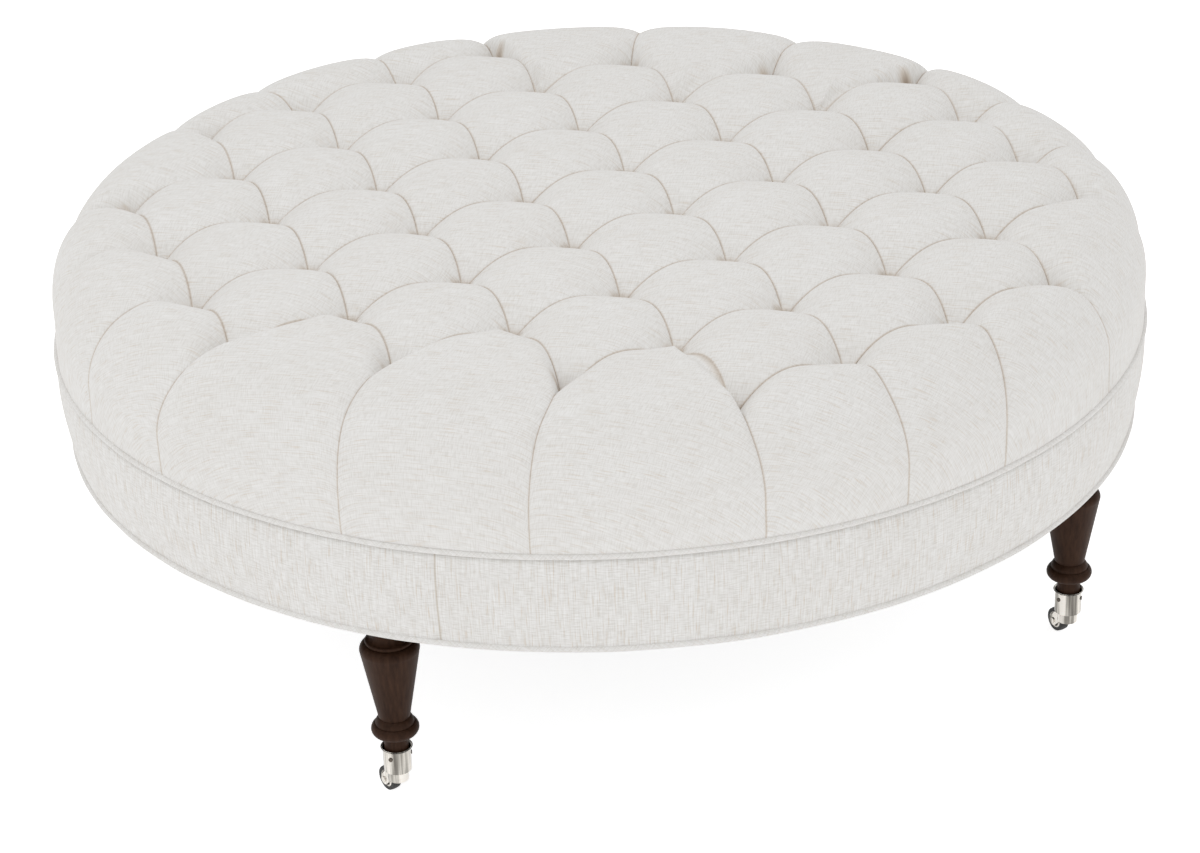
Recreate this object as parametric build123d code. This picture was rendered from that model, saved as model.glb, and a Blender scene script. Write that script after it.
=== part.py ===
from build123d import *
import math
import os

# Round ottoman coffee table with a diamond-tufted top, on four turned legs with cup casters.
# Millimetres, +Z up. The origin is on the floor, under the middle of the top.

# Fits
RUNNING_CLEARANCE = 0.05
SOFT_CLEARANCE = 0.3
SWIVEL_GAP = 0.3
CUT_OVERRUN = 2.0

# Caster wheel and axle
WHEEL_RADIUS = 13.75
WHEEL_WIDTH = 9.6
TREAD_CROWN = 0.5
HUB_RADIUS = 9.2
HUB_DISH = 1.6
HUB_BOSS_RADIUS = 4.2
WHEEL_SIDE_GAP = 0.5
AXLE_RADIUS = 2.0
AXLE_HEAD_RADIUS = 3.2
AXLE_HEAD_THICK = 1.2

# Caster horn
WHEEL_TRAIL = 17.0
WHEEL_SLOT_CLEARANCE = 1.0
CHEEK_THICK = 2.4
CHEEK_BOSS_RADIUS = 6.0
BARREL_RADIUS = 11.0
BARREL_LENGTH = 12.4
CROWN_THICK = 5.2

# Caster king pin
KINGPIN_RADIUS = 3.0
KINGPIN_HEAD_RADIUS = 4.0
KINGPIN_HEAD_THICK = 1.2
RIVET_HEAD_RADIUS = 5.0
RIVET_HEAD_THICK = 1.5

# Caster cup
WHEEL_TO_CUP = 5.5
CUP_RADIUS = 14.8
CUP_WALL = 1.0
CUP_HEIGHT = 28.0
RIM_RADIUS = 16.9
RIM_FLARE = 3.4
CUP_SCREWS = 3
CUP_SCREW_BELOW_RIM = 9.8
CUP_SCREW_RADIUS = 1.1
CUP_SCREW_LENGTH = 9.0
CUP_SCREW_HEAD_RADIUS = 2.3
CUP_SCREW_HEAD_THICK = 0.8
RIM_FLARE_SHARE = 0.12
RIM_EDGE_SHARE = 0.3

# Turned leg: radii, and lengths that add up from its foot
LEG_CIRCLE_RADIUS = 561.0
STEM_RADIUS = 12.75
STEM_LENGTH = 37.7
COVE_LENGTH = 4.6
BEAD_RADIUS = 23.6
BEAD_LENGTH = 13.4
BEAD_RING_RADIUS = 21.4
LINE_DEPTH = 0.9
LINE_WIDTH = 0.8
OGEE_LENGTH = 7.0
TAPER_FOOT_RADIUS = 16.75
TAPER_LENGTH = 79.0
SHOULDER_RADIUS = 31.0
SHOULDER_ROUND = 10.0
NECK_RING_RADIUS = 23.5
NECK_RING_LENGTH = 4.5
NECK_RADIUS = 17.5
NECK_COVE_LENGTH = 16.0
LEG_CAP_RADIUS = 27.0
LEG_CAP_LENGTH = 19.0
LEG_CAP_EDGE = 2.0
# Bends of the leg's curves, as shares of their chords
COVE_SHARE = 0.2
BEAD_SHARE = 0.235
OGEE_SHARE = -0.12
SHOULDER_SHARE = -0.26
NECK_RING_SHARE = -0.4
NECK_SHARE = 0.14
FLARE_SHARE = 0.2
EDGE_SHARE = -0.2

# Wooden frame
FRAME_RADIUS = 598.0
BOTTOM_RING_THICK = 12.0
BOTTOM_RING_WIDTH = 85.0
APRON_HEIGHT = 72.0
APRON_THICK = 15.0
DECK_THICK = 15.0
RAIL_THICK = 18.0
BLOCK_LENGTH = 110.0
BLOCK_WIDTH = 72.0
BLOCK_HEIGHT = 42.0
BLOCK_TO_APRON = 1.0

# Leg bolts and tee nuts
BOLT_RADIUS = 5.0
BOLT_IN_LEG = 62.0
BOLT_PAST_NUT = 6.0
NUT_BARREL_RADIUS = 6.5
NUT_BARREL_LENGTH = 11.0
NUT_FLANGE_RADIUS = 11.0
NUT_FLANGE_THICK = 1.8
BOLT_HOLE_CLEARANCE = 0.5

# Wood screws
SCREW_RADIUS = 2.0
SCREW_LENGTH = 38.0
SCREW_HEAD_RADIUS = 4.0
SCREW_HEAD_DEPTH = 2.4
APRON_SCREWS = 16
APRON_SCREW_TURN = 11.25
RAIL_SCREW_RADII = (150.0, 380.0)
BLOCK_SCREW_SPACING = 78.0

# Band and welts
PADDING_THICK = 7.4
FABRIC_THICK = 1.5
WELT_RADIUS = 3.25
FLANGE_THICK = 1.4
FLANGE_WIDTH = 18.0
DUST_COVER_THICK = 1.0
DUST_COVER_MARGIN = 4.0
DUST_COVER_LEG_CLEARANCE = 1.5
STAPLES = 48
STAPLE_LENGTH = 11.0
STAPLE_WIDTH = 1.3
STAPLE_THICK = 0.6
STAPLE_MARGIN = 8.0

# Tufting: a diamond lattice, its rows turned from the leg axes
TUFT_PITCH = 177.8
TUFT_ROW_PITCH = 114.3
TUFT_FIELD_RADIUS = 558.0
TUFT_TURN = -37.2
NOTCH_AREA_SHARE = 0.05
PLEAT_GAP = 2.0
DIMPLE_RADIUS = 7.5
DIMPLE_FLARE_RADIUS = 15.0
DIMPLE_FLARE_HEIGHT = 20.0
DIMPLE_FLARE_SHARE = 0.08
BUTTON_RADIUS = 6.0
BUTTON_THICK = 4.0
BUTTON_DOME_SHARE = -0.14
TWINE_RADIUS = 1.0
TWINE_HOLE_CLEARANCE = 0.3
KNOT_RADIUS = 2.6
DECK_HOLE_RADIUS = 3.0
WASHER_RADIUS = 6.0
WASHER_THICK = 1.5
WASHER_POCKET_CLEARANCE = 1.0

# Padded top: heights above the deck
TOP_THICK = 146.0
DIMPLE_DEPTH = 40.0
EDGE_DIMPLE_DROP = 8.0
PLEAT_DEPTH = 11.0
PLEAT_FLOOR_DEPTH = 3.0
PILLOW_FOOT = 5.0
FOAM_THICK = 76.0
FOAM_INSET = 14.0
FOAM_ROUND = 52.0
WADDING_THICK = 10.0
SIDE_BULGE_RADIUS = 617.0
SIDE_PLEAT_RADIUS = 613.0
SIDE_PLEAT_RISE = 32.0
SIDE_ROUND = 85.0
SIDE_ROUND_SHARE = 0.62
SIDE_SECTION_SHARES = (0.0, 0.2, 0.5, 0.8, 1.0)
SECTION_SPACING_SHARE = 0.1
MEETING_SLACK_SHARE = 0.001
FULLNESS_POWER_SHARE = 0.7
BODY_SHOULDER_SHARE = -0.2
CAVITY_SHOULDER_SHARE = -0.2
COVER_HEM_RADIUS = 606.5

# Levels, from the floor up
AXLE_Z = WHEEL_RADIUS
CUP_Z = 2 * WHEEL_RADIUS + WHEEL_TO_CUP
CUP_FLOOR_Z = CUP_Z + CUP_WALL
CUP_RIM_Z = CUP_Z + CUP_HEIGHT
BARREL_TOP_Z = CUP_Z - SWIVEL_GAP
BARREL_Z = BARREL_TOP_Z - BARREL_LENGTH
STEM_TOP_Z = CUP_FLOOR_Z + STEM_LENGTH
COVE_TOP_Z = STEM_TOP_Z + COVE_LENGTH
BEAD_TOP_Z = COVE_TOP_Z + BEAD_LENGTH
TAPER_Z = BEAD_TOP_Z + LINE_WIDTH + OGEE_LENGTH
SHOULDER_Z = TAPER_Z + TAPER_LENGTH
NECK_RING_Z = SHOULDER_Z + SHOULDER_ROUND
NECK_Z = NECK_RING_Z + NECK_RING_LENGTH
LEG_CAP_Z = NECK_Z + NECK_COVE_LENGTH
FRAME_Z = LEG_CAP_Z + LEG_CAP_LENGTH
APRON_Z = FRAME_Z + BOTTOM_RING_THICK
DECK_Z = APRON_Z + APRON_HEIGHT
DECK_TOP_Z = DECK_Z + DECK_THICK
BLOCK_TOP_Z = APRON_Z + BLOCK_HEIGHT
PADDING_INNER = FRAME_RADIUS + SOFT_CLEARANCE
BAND_INNER = PADDING_INNER + PADDING_THICK + SOFT_CLEARANCE
BAND_RADIUS = BAND_INNER + FABRIC_THICK
BOTTOM_WELT_Z = FRAME_Z
TOP_WELT_Z = DECK_TOP_Z + WELT_RADIUS + SOFT_CLEARANCE
TOP_Z = DECK_TOP_Z + TOP_THICK
HEM_Z = TOP_WELT_Z + WELT_RADIUS + SOFT_CLEARANCE
DIMPLE_Z = TOP_Z - DIMPLE_DEPTH
EDGE_DIMPLE_Z = DIMPLE_Z - EDGE_DIMPLE_DROP
PLEAT_Z = TOP_Z - PLEAT_DEPTH
WADDING_TOP_Z = DECK_TOP_Z + FOAM_THICK + SOFT_CLEARANCE + WADDING_THICK
APRON_INNER = FRAME_RADIUS - APRON_THICK
RING_INNER = FRAME_RADIUS - BOTTOM_RING_WIDTH
FOAM_RADIUS = FRAME_RADIUS - FOAM_INSET
WADDING_RADIUS = FOAM_RADIUS + SOFT_CLEARANCE + WADDING_THICK

CORNERS = ("front_left", "front_right", "back_right", "back_left")
CORNER_ANGLES = {"front_left": -135, "front_right": -45, "back_right": 45, "back_left": 135}
TRAIL_ANGLES = {"front_left": 107, "front_right": 97, "back_right": 131, "back_left": 85}


# Helpers
def rz_wire(corners):
    """Closed outline in the X-Z plane. A corner's third value bends the edge that leads to it:
    the arc's rise as a share of its chord, to the left of the way it runs."""
    edges = []
    for start, end in zip(corners, corners[1:] + corners[:1]):
        a = Vector(start[0], 0, start[1])
        b = Vector(end[0], 0, end[1])
        bend_share = end[2] if len(end) > 2 else 0
        if bend_share:
            left = Vector(a.Z - b.Z, 0, b.X - a.X)
            edges.append(ThreePointArc(a, (a + b) / 2 + left * bend_share, b))
        else:
            edges.append(Line(a, b))
    return Wire(edges)


def turned(corners):
    """Solid of revolution about Z from an outline of (radius, height) corners."""
    return revolve(Face(rz_wire(corners)), Axis.Z)


def rod(radius, low, high, x=0, y=0):
    """Upright cylinder between two heights."""
    return Pos(x, y, (low + high) / 2) * Cylinder(radius, high - low)


def ring(inner, outer, low, high):
    """Upright tube between two heights."""
    return turned([(inner, low), (outer, low), (outer, high), (inner, high)])


def polar(radius, degrees):
    """Point of the plan at a radius and an angle."""
    angle = math.radians(degrees)
    return radius * math.cos(angle), radius * math.sin(angle)


def corner_place(corner):
    """Floor point under a leg's axis, turned so that local +X points outwards."""
    x, y = polar(LEG_CIRCLE_RADIUS, CORNER_ANGLES[corner])
    return Pos(x, y, 0) * Rot(0, 0, CORNER_ANGLES[corner])


def caster_place(corner):
    """Floor point under a caster's king pin, turned so that local +X is the trail."""
    x, y = polar(LEG_CIRCLE_RADIUS, CORNER_ANGLES[corner])
    return Pos(x, y, 0) * Rot(0, 0, TRAIL_ANGLES[corner])


def across(radius, low, high):
    """Cylinder along the axle, between two places on local Y."""
    bar = Rot(90, 0, 0) * Cylinder(radius, high - low)
    return Pos(WHEEL_TRAIL, (low + high) / 2, AXLE_Z) * bar


def group(solids):
    """Separate solids kept together in one node."""
    return Compound(children=[part if isinstance(part, Solid) else part.solid() for part in solids])


def write(name, shape):
    """One STEP file for one named piece."""
    export_step(shape, os.path.join("parts", name + ".step"))


# Caster wheel: a dished metal hub with a hard rubber tyre
HALF_WHEEL = WHEEL_WIDTH / 2
CHEEK_INNER = HALF_WHEEL + WHEEL_SIDE_GAP
CHEEK_OUTER = CHEEK_INNER + CHEEK_THICK


def lay_on_axle(turned_piece):
    """Turn a piece made about Z so that it runs along the axle."""
    return Pos(WHEEL_TRAIL, 0, AXLE_Z) * Rot(90, 0, 0) * turned_piece


def caster_hub():
    bore = AXLE_RADIUS + RUNNING_CLEARANCE
    web = HALF_WHEEL - HUB_DISH
    rim_inner = HUB_RADIUS - HUB_DISH
    half = [(bore, HALF_WHEEL), (HUB_BOSS_RADIUS, HALF_WHEEL), (HUB_BOSS_RADIUS, web),
            (rim_inner, web), (rim_inner, HALF_WHEEL), (HUB_RADIUS, HALF_WHEEL)]
    mirrored = [(radius, -height) for radius, height in reversed(half)]
    return lay_on_axle(turned(half + mirrored))


def caster_tyre():
    shoulder = WHEEL_RADIUS - TREAD_CROWN
    crown_share = TREAD_CROWN / WHEEL_WIDTH
    return lay_on_axle(turned([(HUB_RADIUS, -HALF_WHEEL), (shoulder, -HALF_WHEEL),
                               (shoulder, HALF_WHEEL, -crown_share), (HUB_RADIUS, HALF_WHEEL)]))


def caster_axle():
    head = AXLE_HEAD_THICK
    axle = across(AXLE_RADIUS, -CHEEK_OUTER, CHEEK_OUTER)
    for side in (-1, 1):
        face = side * CHEEK_OUTER
        ends = sorted((face, face + side * head))
        axle += across(AXLE_HEAD_RADIUS, *ends)
    return axle


# Caster horn: a barrel that swivels under the cup, with two cheeks that hold the axle
def caster_horn():
    half_barrel = BARREL_LENGTH / 2
    root_radius = half_barrel
    root = Pos(BARREL_RADIUS - root_radius, BARREL_Z + half_barrel) * Circle(root_radius)
    boss = Pos(WHEEL_TRAIL, AXLE_Z) * Circle(CHEEK_BOSS_RADIUS)
    cheek = extrude(Plane.XZ * make_hull((root + boss).edges()), CHEEK_THICK)
    horn = rod(BARREL_RADIUS, BARREL_Z, BARREL_TOP_Z)
    horn += Pos(0, -CHEEK_INNER, 0) * cheek
    horn += Pos(0, CHEEK_OUTER, 0) * cheek
    horn -= across(WHEEL_RADIUS + WHEEL_SLOT_CLEARANCE, -CHEEK_INNER, CHEEK_INNER)
    horn -= across(AXLE_RADIUS, -CHEEK_OUTER, CHEEK_OUTER)
    crown_z = BARREL_TOP_Z - CROWN_THICK
    horn -= rod(KINGPIN_RADIUS + RUNNING_CLEARANCE, crown_z, BARREL_TOP_Z)
    horn -= rod(KINGPIN_HEAD_RADIUS + SWIVEL_GAP, BARREL_Z - CUT_OVERRUN, crown_z)
    return horn


# King pin: riveted through the cup's floor, with a head under the horn's crown
def kingpin():
    head_top = BARREL_TOP_Z - CROWN_THICK - SWIVEL_GAP
    rivet_top = CUP_FLOOR_Z + RIVET_HEAD_THICK
    pin = rod(KINGPIN_RADIUS, head_top, CUP_FLOOR_Z)
    pin += rod(KINGPIN_HEAD_RADIUS, head_top - KINGPIN_HEAD_THICK, head_top)
    pin += rod(RIVET_HEAD_RADIUS, CUP_FLOOR_Z, rivet_top)
    return pin


# Caster cup: a thin drawn cup with a flared rim, held by small screws
CUP_INNER = CUP_RADIUS - CUP_WALL
CUP_SCREW_Z = CUP_RIM_Z - CUP_SCREW_BELOW_RIM


def cup_screw(turn):
    """One screw through the cup's wall into the stem, at an angle round the cup."""
    shank = Rot(0, 90, 0) * Cylinder(CUP_SCREW_RADIUS, CUP_SCREW_LENGTH)
    head = Rot(0, 90, 0) * Cylinder(CUP_SCREW_HEAD_RADIUS, CUP_SCREW_HEAD_THICK)
    seat = CUP_RADIUS + CUP_SCREW_HEAD_THICK / 2
    screw = Pos(CUP_RADIUS - CUP_SCREW_LENGTH / 2, 0, 0) * shank + Pos(seat, 0, 0) * head
    return Rot(0, 0, turn) * Pos(0, 0, CUP_SCREW_Z) * screw


def cup_screws():
    """The screws of one cup, the first on the side that faces outwards."""
    return [cup_screw(360 / CUP_SCREWS * number) for number in range(CUP_SCREWS)]


def caster_cup():
    flare_z = CUP_RIM_Z - RIM_FLARE
    rim_inner = RIM_RADIUS - CUP_WALL
    cup = turned([(KINGPIN_RADIUS, CUP_Z), (CUP_RADIUS, CUP_Z), (CUP_RADIUS, flare_z),
                  (RIM_RADIUS, CUP_RIM_Z - CUP_WALL / 2, RIM_FLARE_SHARE),
                  (rim_inner, CUP_RIM_Z, RIM_EDGE_SHARE), (CUP_INNER, flare_z, -RIM_FLARE_SHARE),
                  (CUP_INNER, CUP_FLOOR_Z), (KINGPIN_RADIUS, CUP_FLOOR_Z)])
    for screw in cup_screws():
        cup -= screw
    return cup


# Turned leg, with a bore for the hanger bolt and pilot holes for the cup's screws
def leg():
    socket = RIVET_HEAD_RADIUS + SWIVEL_GAP
    socket_z = CUP_FLOOR_Z + RIVET_HEAD_THICK + SWIVEL_GAP
    line_z = BEAD_TOP_Z + LINE_WIDTH
    outline = [
        (0, socket_z), (socket, socket_z), (socket, CUP_FLOOR_Z), (STEM_RADIUS, CUP_FLOOR_Z),
        (STEM_RADIUS, STEM_TOP_Z),
        (STEM_RADIUS + COVE_LENGTH, COVE_TOP_Z, COVE_SHARE),
        (BEAD_RING_RADIUS, BEAD_TOP_Z, -BEAD_RADIUS / BEAD_LENGTH * BEAD_SHARE),
        (BEAD_RING_RADIUS - LINE_DEPTH, BEAD_TOP_Z), (BEAD_RING_RADIUS - LINE_DEPTH, line_z),
        (TAPER_FOOT_RADIUS - LINE_DEPTH, TAPER_Z, OGEE_SHARE),
        (TAPER_FOOT_RADIUS, TAPER_Z + LINE_DEPTH),
        (SHOULDER_RADIUS, SHOULDER_Z),
        (NECK_RING_RADIUS, NECK_RING_Z, SHOULDER_SHARE),
        (NECK_RING_RADIUS, NECK_Z, NECK_RING_SHARE),
        (NECK_RADIUS, NECK_Z + NECK_COVE_LENGTH / 3, NECK_SHARE),
        (LEG_CAP_RADIUS, LEG_CAP_Z, FLARE_SHARE),
        (LEG_CAP_RADIUS, FRAME_Z - LEG_CAP_EDGE), (LEG_CAP_RADIUS - LEG_CAP_EDGE, FRAME_Z, EDGE_SHARE),
        (0, FRAME_Z)]
    body = turned(outline) - rod(BOLT_RADIUS, FRAME_Z - BOLT_IN_LEG, FRAME_Z)
    for screw in cup_screws():
        body -= screw
    return body


# Hanger bolt and tee nut of one leg
def hanger_bolt():
    return rod(BOLT_RADIUS, FRAME_Z - BOLT_IN_LEG, BLOCK_TOP_Z + NUT_FLANGE_THICK + BOLT_PAST_NUT)


def tee_nut():
    flange_top = BLOCK_TOP_Z + NUT_FLANGE_THICK
    nut = rod(NUT_BARREL_RADIUS, BLOCK_TOP_Z - NUT_BARREL_LENGTH, flange_top)
    nut += rod(NUT_FLANGE_RADIUS, BLOCK_TOP_Z, flange_top)
    return nut - rod(BOLT_RADIUS, BLOCK_TOP_Z - NUT_BARREL_LENGTH, flange_top)


# Wood screws: upright, countersunk, the head's face at z and the point up or down
def wood_screw(x, y, z, way):
    neck = z + way * SCREW_HEAD_DEPTH
    head = Pos(x, y, (z + neck) / 2) * Cone(
        *((SCREW_HEAD_RADIUS, SCREW_RADIUS) if way > 0 else (SCREW_RADIUS, SCREW_HEAD_RADIUS)),
        SCREW_HEAD_DEPTH)
    ends = sorted((neck, z + way * SCREW_LENGTH))
    return head + rod(SCREW_RADIUS, *ends, x, y)


def apron_screw_points():
    radius = FRAME_RADIUS - APRON_THICK / 2
    step = 360 / APRON_SCREWS
    return [polar(radius, APRON_SCREW_TURN + step * number) for number in range(APRON_SCREWS)]


def deck_screws():
    rail_points = [polar(radius, 90 * quarter) for radius in RAIL_SCREW_RADII for quarter in range(4)]
    return [wood_screw(x, y, DECK_TOP_Z, -1) for x, y in apron_screw_points() + rail_points]


def ring_screws():
    screws = [wood_screw(x, y, FRAME_Z, 1) for x, y in apron_screw_points()]
    for corner in CORNERS:
        for side in (-1, 1):
            screw = wood_screw(0, side * BLOCK_SCREW_SPACING / 2, FRAME_Z, 1)
            screws.append(corner_place(corner) * screw)
    return screws


def cut_each(body, tools):
    """Cut many separate tools from one body."""
    return body - group(tools)


# Tuft lattice
LATTICE_A = (TUFT_PITCH / 2, -TUFT_ROW_PITCH)
LATTICE_B = (TUFT_PITCH / 2, TUFT_ROW_PITCH)


def lattice_point(i, j):
    """Plan position of a lattice point, with the middle of the top in the middle of a diamond."""
    u, v = i + 0.5, j + 0.5
    x = u * LATTICE_A[0] + v * LATTICE_B[0]
    y = u * LATTICE_A[1] + v * LATTICE_B[1]
    turn = math.radians(TUFT_TURN)
    return (x * math.cos(turn) - y * math.sin(turn), x * math.sin(turn) + y * math.cos(turn))


def diamond_corners(i, j):
    return [(i, j), (i + 1, j), (i + 1, j + 1), (i, j + 1)]


def tuft_diamonds():
    """Diamonds whose four corners all lie in the tufted field."""
    reach = math.ceil(2 * TUFT_FIELD_RADIUS / TUFT_ROW_PITCH)
    inside = {(i, j) for i in range(-reach, reach) for j in range(-reach, reach)
              if math.hypot(*lattice_point(i, j)) <= TUFT_FIELD_RADIUS}
    return sorted((i, j) for i, j in inside if all(c in inside for c in diamond_corners(i, j)))


DIAMONDS = tuft_diamonds()
TUFTS = sorted({corner for diamond in DIAMONDS for corner in diamond_corners(*diamond)})


def field_edge():
    """Corners of the diamonds' common outline, in order round the top."""
    following = {}
    for diamond in DIAMONDS:
        corners = diamond_corners(*diamond)
        for start, end in zip(corners, corners[1:] + corners[:1]):
            following[(start, end)] = True
    edge = {start: end for start, end in following if (end, start) not in following}
    first = min(edge)
    loop = [first]
    while edge[loop[-1]] != first:
        loop.append(edge[loop[-1]])
    return loop


EDGE_LOOP = field_edge()


def is_notch(index):
    """True where the field's outline turns inwards, so that no side pleat starts there."""
    before, here, after = (lattice_point(*EDGE_LOOP[(index + k) % len(EDGE_LOOP)]) for k in (-1, 0, 1))
    cross = ((here[0] - before[0]) * (after[1] - here[1])
             - (here[1] - before[1]) * (after[0] - here[0]))
    return cross < -NOTCH_AREA_SHARE * TUFT_PITCH * TUFT_ROW_PITCH


EDGE_TUFTS = [tuft for index, tuft in enumerate(EDGE_LOOP) if not is_notch(index)]


def tuft_floor(tuft):
    """Height of a dimple's floor: the outer ones are pulled lower."""
    return EDGE_DIMPLE_Z if tuft in EDGE_TUFTS else DIMPLE_Z


# Padded top: its body under the pleats, as an outline of (radius, height)
COVER_BODY_TOP = EDGE_DIMPLE_Z - PLEAT_FLOOR_DEPTH


def cover_body():
    return turned([(0, DECK_TOP_Z), (FRAME_RADIUS, DECK_TOP_Z), (FRAME_RADIUS, HEM_Z),
                   (COVER_HEM_RADIUS - PLEAT_GAP, HEM_Z),
                   (TUFT_FIELD_RADIUS, COVER_BODY_TOP, BODY_SHOULDER_SHARE),
                   (0, COVER_BODY_TOP)])


def cavity(radius, top, round_size):
    """Space under the cover: flat topped, with a rounded shoulder."""
    return turned([(0, DECK_TOP_Z), (radius, DECK_TOP_Z), (radius, top - round_size),
                   (radius - round_size, top, CAVITY_SHOULDER_SHARE), (0, top)])


# One diamond pillow: a loft through three arched sections
def pillow_section(start, end, foot_z, end_z, crest_z):
    """Upright section between two plan points, with an arched top."""
    a, b = Vector(*start, foot_z), Vector(*end, foot_z)
    rise = Vector(0, 0, end_z - foot_z)
    crest = (a + b) / 2 + Vector(0, 0, crest_z - foot_z)
    return Wire([Line(a, b), Line(b, b + rise), ThreePointArc(b + rise, crest, a + rise),
                 Line(a + rise, a)])


def between(p, q, share):
    return (p[0] + (q[0] - p[0]) * share, p[1] + (q[1] - p[1]) * share)


def inset_diamond(diamond):
    """The diamond's four plan corners, drawn in by half a pleat's gap."""
    i, j = diamond
    side = math.hypot(*LATTICE_A)
    height = TUFT_PITCH * TUFT_ROW_PITCH / side
    share = PLEAT_GAP / 2 / height
    a, b, c, d = (lattice_point(*corner) for corner in diamond_corners(i, j))

    def place(s, t):
        return between(between(a, b, s), between(d, c, s), t)

    return place(share, share), place(1 - share, share), place(1 - share, 1 - share), place(share, 1 - share)


def diamond_pillow(diamond):
    a, b, c, d = inset_diamond(diamond)
    foot_z = COVER_BODY_TOP - PILLOW_FOOT
    sections = [pillow_section(a, b, foot_z, DIMPLE_Z, PLEAT_Z),
                pillow_section(between(a, d, 0.5), between(b, c, 0.5), foot_z, PLEAT_Z, TOP_Z),
                pillow_section(d, c, foot_z, DIMPLE_Z, PLEAT_Z)]
    return Solid.make_loft(sections)


# Side pillows: between two side pleats, from the tufted field over the shoulder to the welt
def ray_meets(angle, corners):
    """Largest radius at which a ray from the middle meets a plan path, and the share of the
    way along the path's run where it does."""
    direction = (math.cos(angle), math.sin(angle))
    meetings = []
    for p, q in zip(corners, corners[1:]):
        run = (q[0] - p[0], q[1] - p[1])
        across_run = direction[0] * run[1] - direction[1] * run[0]
        if across_run:
            share = (direction[1] * p[0] - direction[0] * p[1]) / across_run
            if -MEETING_SLACK_SHARE <= share <= 1 + MEETING_SLACK_SHARE:
                place = between(p, q, share)
                meetings.append((place[0] * direction[0] + place[1] * direction[1], share))
    return max(meetings)


def tangent_share(run, rise):
    """Bend of an arc whose end lies this far along and across its start's or end's tangent."""
    return math.tan(math.atan2(rise, run) / 2) / 2


def side_section(angle, start_radius, start_z, fullness):
    """Upright section of a side pillow. Fullness runs from 0 in a pleat to 1 in the middle."""
    pleat_top = EDGE_DIMPLE_Z + SIDE_PLEAT_RISE
    crest_z = pleat_top + (TOP_Z - pleat_top) * fullness
    side_radius = SIDE_PLEAT_RADIUS + (SIDE_BULGE_RADIUS - SIDE_PLEAT_RADIUS) * fullness
    round_size = min(SIDE_ROUND, (side_radius - start_radius) * SIDE_ROUND_SHARE)
    crest_radius = side_radius - round_size
    side_z = crest_z - round_size
    foot_z = COVER_BODY_TOP - PILLOW_FOOT
    corners = [(start_radius, foot_z), (start_radius, start_z),
               (crest_radius, crest_z, tangent_share(crest_radius - start_radius, crest_z - start_z)),
               (side_radius, side_z, tangent_share(1, 1)),
               (COVER_HEM_RADIUS, HEM_Z, tangent_share(side_z - HEM_Z, side_radius - COVER_HEM_RADIUS)),
               (FRAME_RADIUS, HEM_Z)]
    return Rot(0, 0, math.degrees(angle)) * rz_wire(corners)


def side_pillow(first, second):
    """Pillow between the side pleats of two neighbouring edge tufts."""
    start = EDGE_LOOP.index(first)
    path = [first]
    while path[-1] != second:
        start = (start + 1) % len(EDGE_LOOP)
        path.append(EDGE_LOOP[start])
    corners = [lattice_point(*tuft) for tuft in path]
    angles = [math.atan2(y, x) for x, y in corners]
    angles = [angle + (2 * math.pi if angle < angles[0] - math.pi / 2 else 0) for angle in angles]
    trim = PLEAT_GAP / 2 / FRAME_RADIUS
    low, high = angles[0] + trim, angles[-1] - trim
    shares = set(SIDE_SECTION_SHARES)
    for notch in angles[1:-1]:
        notch_share = (notch - low) / (high - low)
        shares = {share for share in shares
                  if share in (0, 1) or abs(share - notch_share) > SECTION_SPACING_SHARE}
        shares.add(notch_share)
    sections = []
    for share in sorted(shares):
        angle = low + (high - low) * share
        fullness = math.sin(math.pi * share) ** FULLNESS_POWER_SHARE if 0 < share < 1 else 0
        radius, along = ray_meets(angle, corners)
        arch = 4 * along * (1 - along)
        start_z = EDGE_DIMPLE_Z + (PLEAT_Z - EDGE_DIMPLE_Z) * max(arch, 0)
        sections.append(side_section(angle, radius + PLEAT_GAP, start_z, fullness))
    return Solid.make_loft(sections, ruled=True)


def dimple(tuft):
    """Funnel cut out round a tuft."""
    x, y = lattice_point(*tuft)
    floor_z = tuft_floor(tuft)
    return Pos(x, y, 0) * turned([
        (0, floor_z), (DIMPLE_RADIUS, floor_z),
        (DIMPLE_FLARE_RADIUS, floor_z + DIMPLE_FLARE_HEIGHT, DIMPLE_FLARE_SHARE),
        (DIMPLE_FLARE_RADIUS, TOP_Z + DIMPLE_FLARE_HEIGHT), (0, TOP_Z + DIMPLE_FLARE_HEIGHT)])


def twine_holes(low, high):
    """Clear holes for the twine through a soft layer."""
    radius = TWINE_RADIUS + TWINE_HOLE_CLEARANCE
    return [rod(radius, low, high, *lattice_point(*tuft)) for tuft in TUFTS]


def tufted_cover():
    pillows = [diamond_pillow(diamond) for diamond in DIAMONDS]
    for first, second in zip(EDGE_TUFTS, EDGE_TUFTS[1:] + EDGE_TUFTS[:1]):
        pillows.append(side_pillow(first, second))
    cover = cover_body().solid().fuse(*pillows)
    hollow_radius = WADDING_RADIUS + SOFT_CLEARANCE
    hollow_top = WADDING_TOP_Z + SOFT_CLEARANCE
    hollow_round = FOAM_ROUND + WADDING_THICK
    tools = [cavity(hollow_radius, hollow_top, hollow_round).solid()]
    tools += [dimple(tuft).solid() for tuft in TUFTS]
    tools += [hole.solid() for hole in twine_holes(DECK_TOP_Z, TOP_Z)]
    return cover.cut(*tools)


# Foam, wadding, buttons, twine and washers
def foam_core():
    foam = cavity(FOAM_RADIUS, DECK_TOP_Z + FOAM_THICK, FOAM_ROUND)
    return cut_each(foam, twine_holes(DECK_TOP_Z, TOP_Z))


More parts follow.
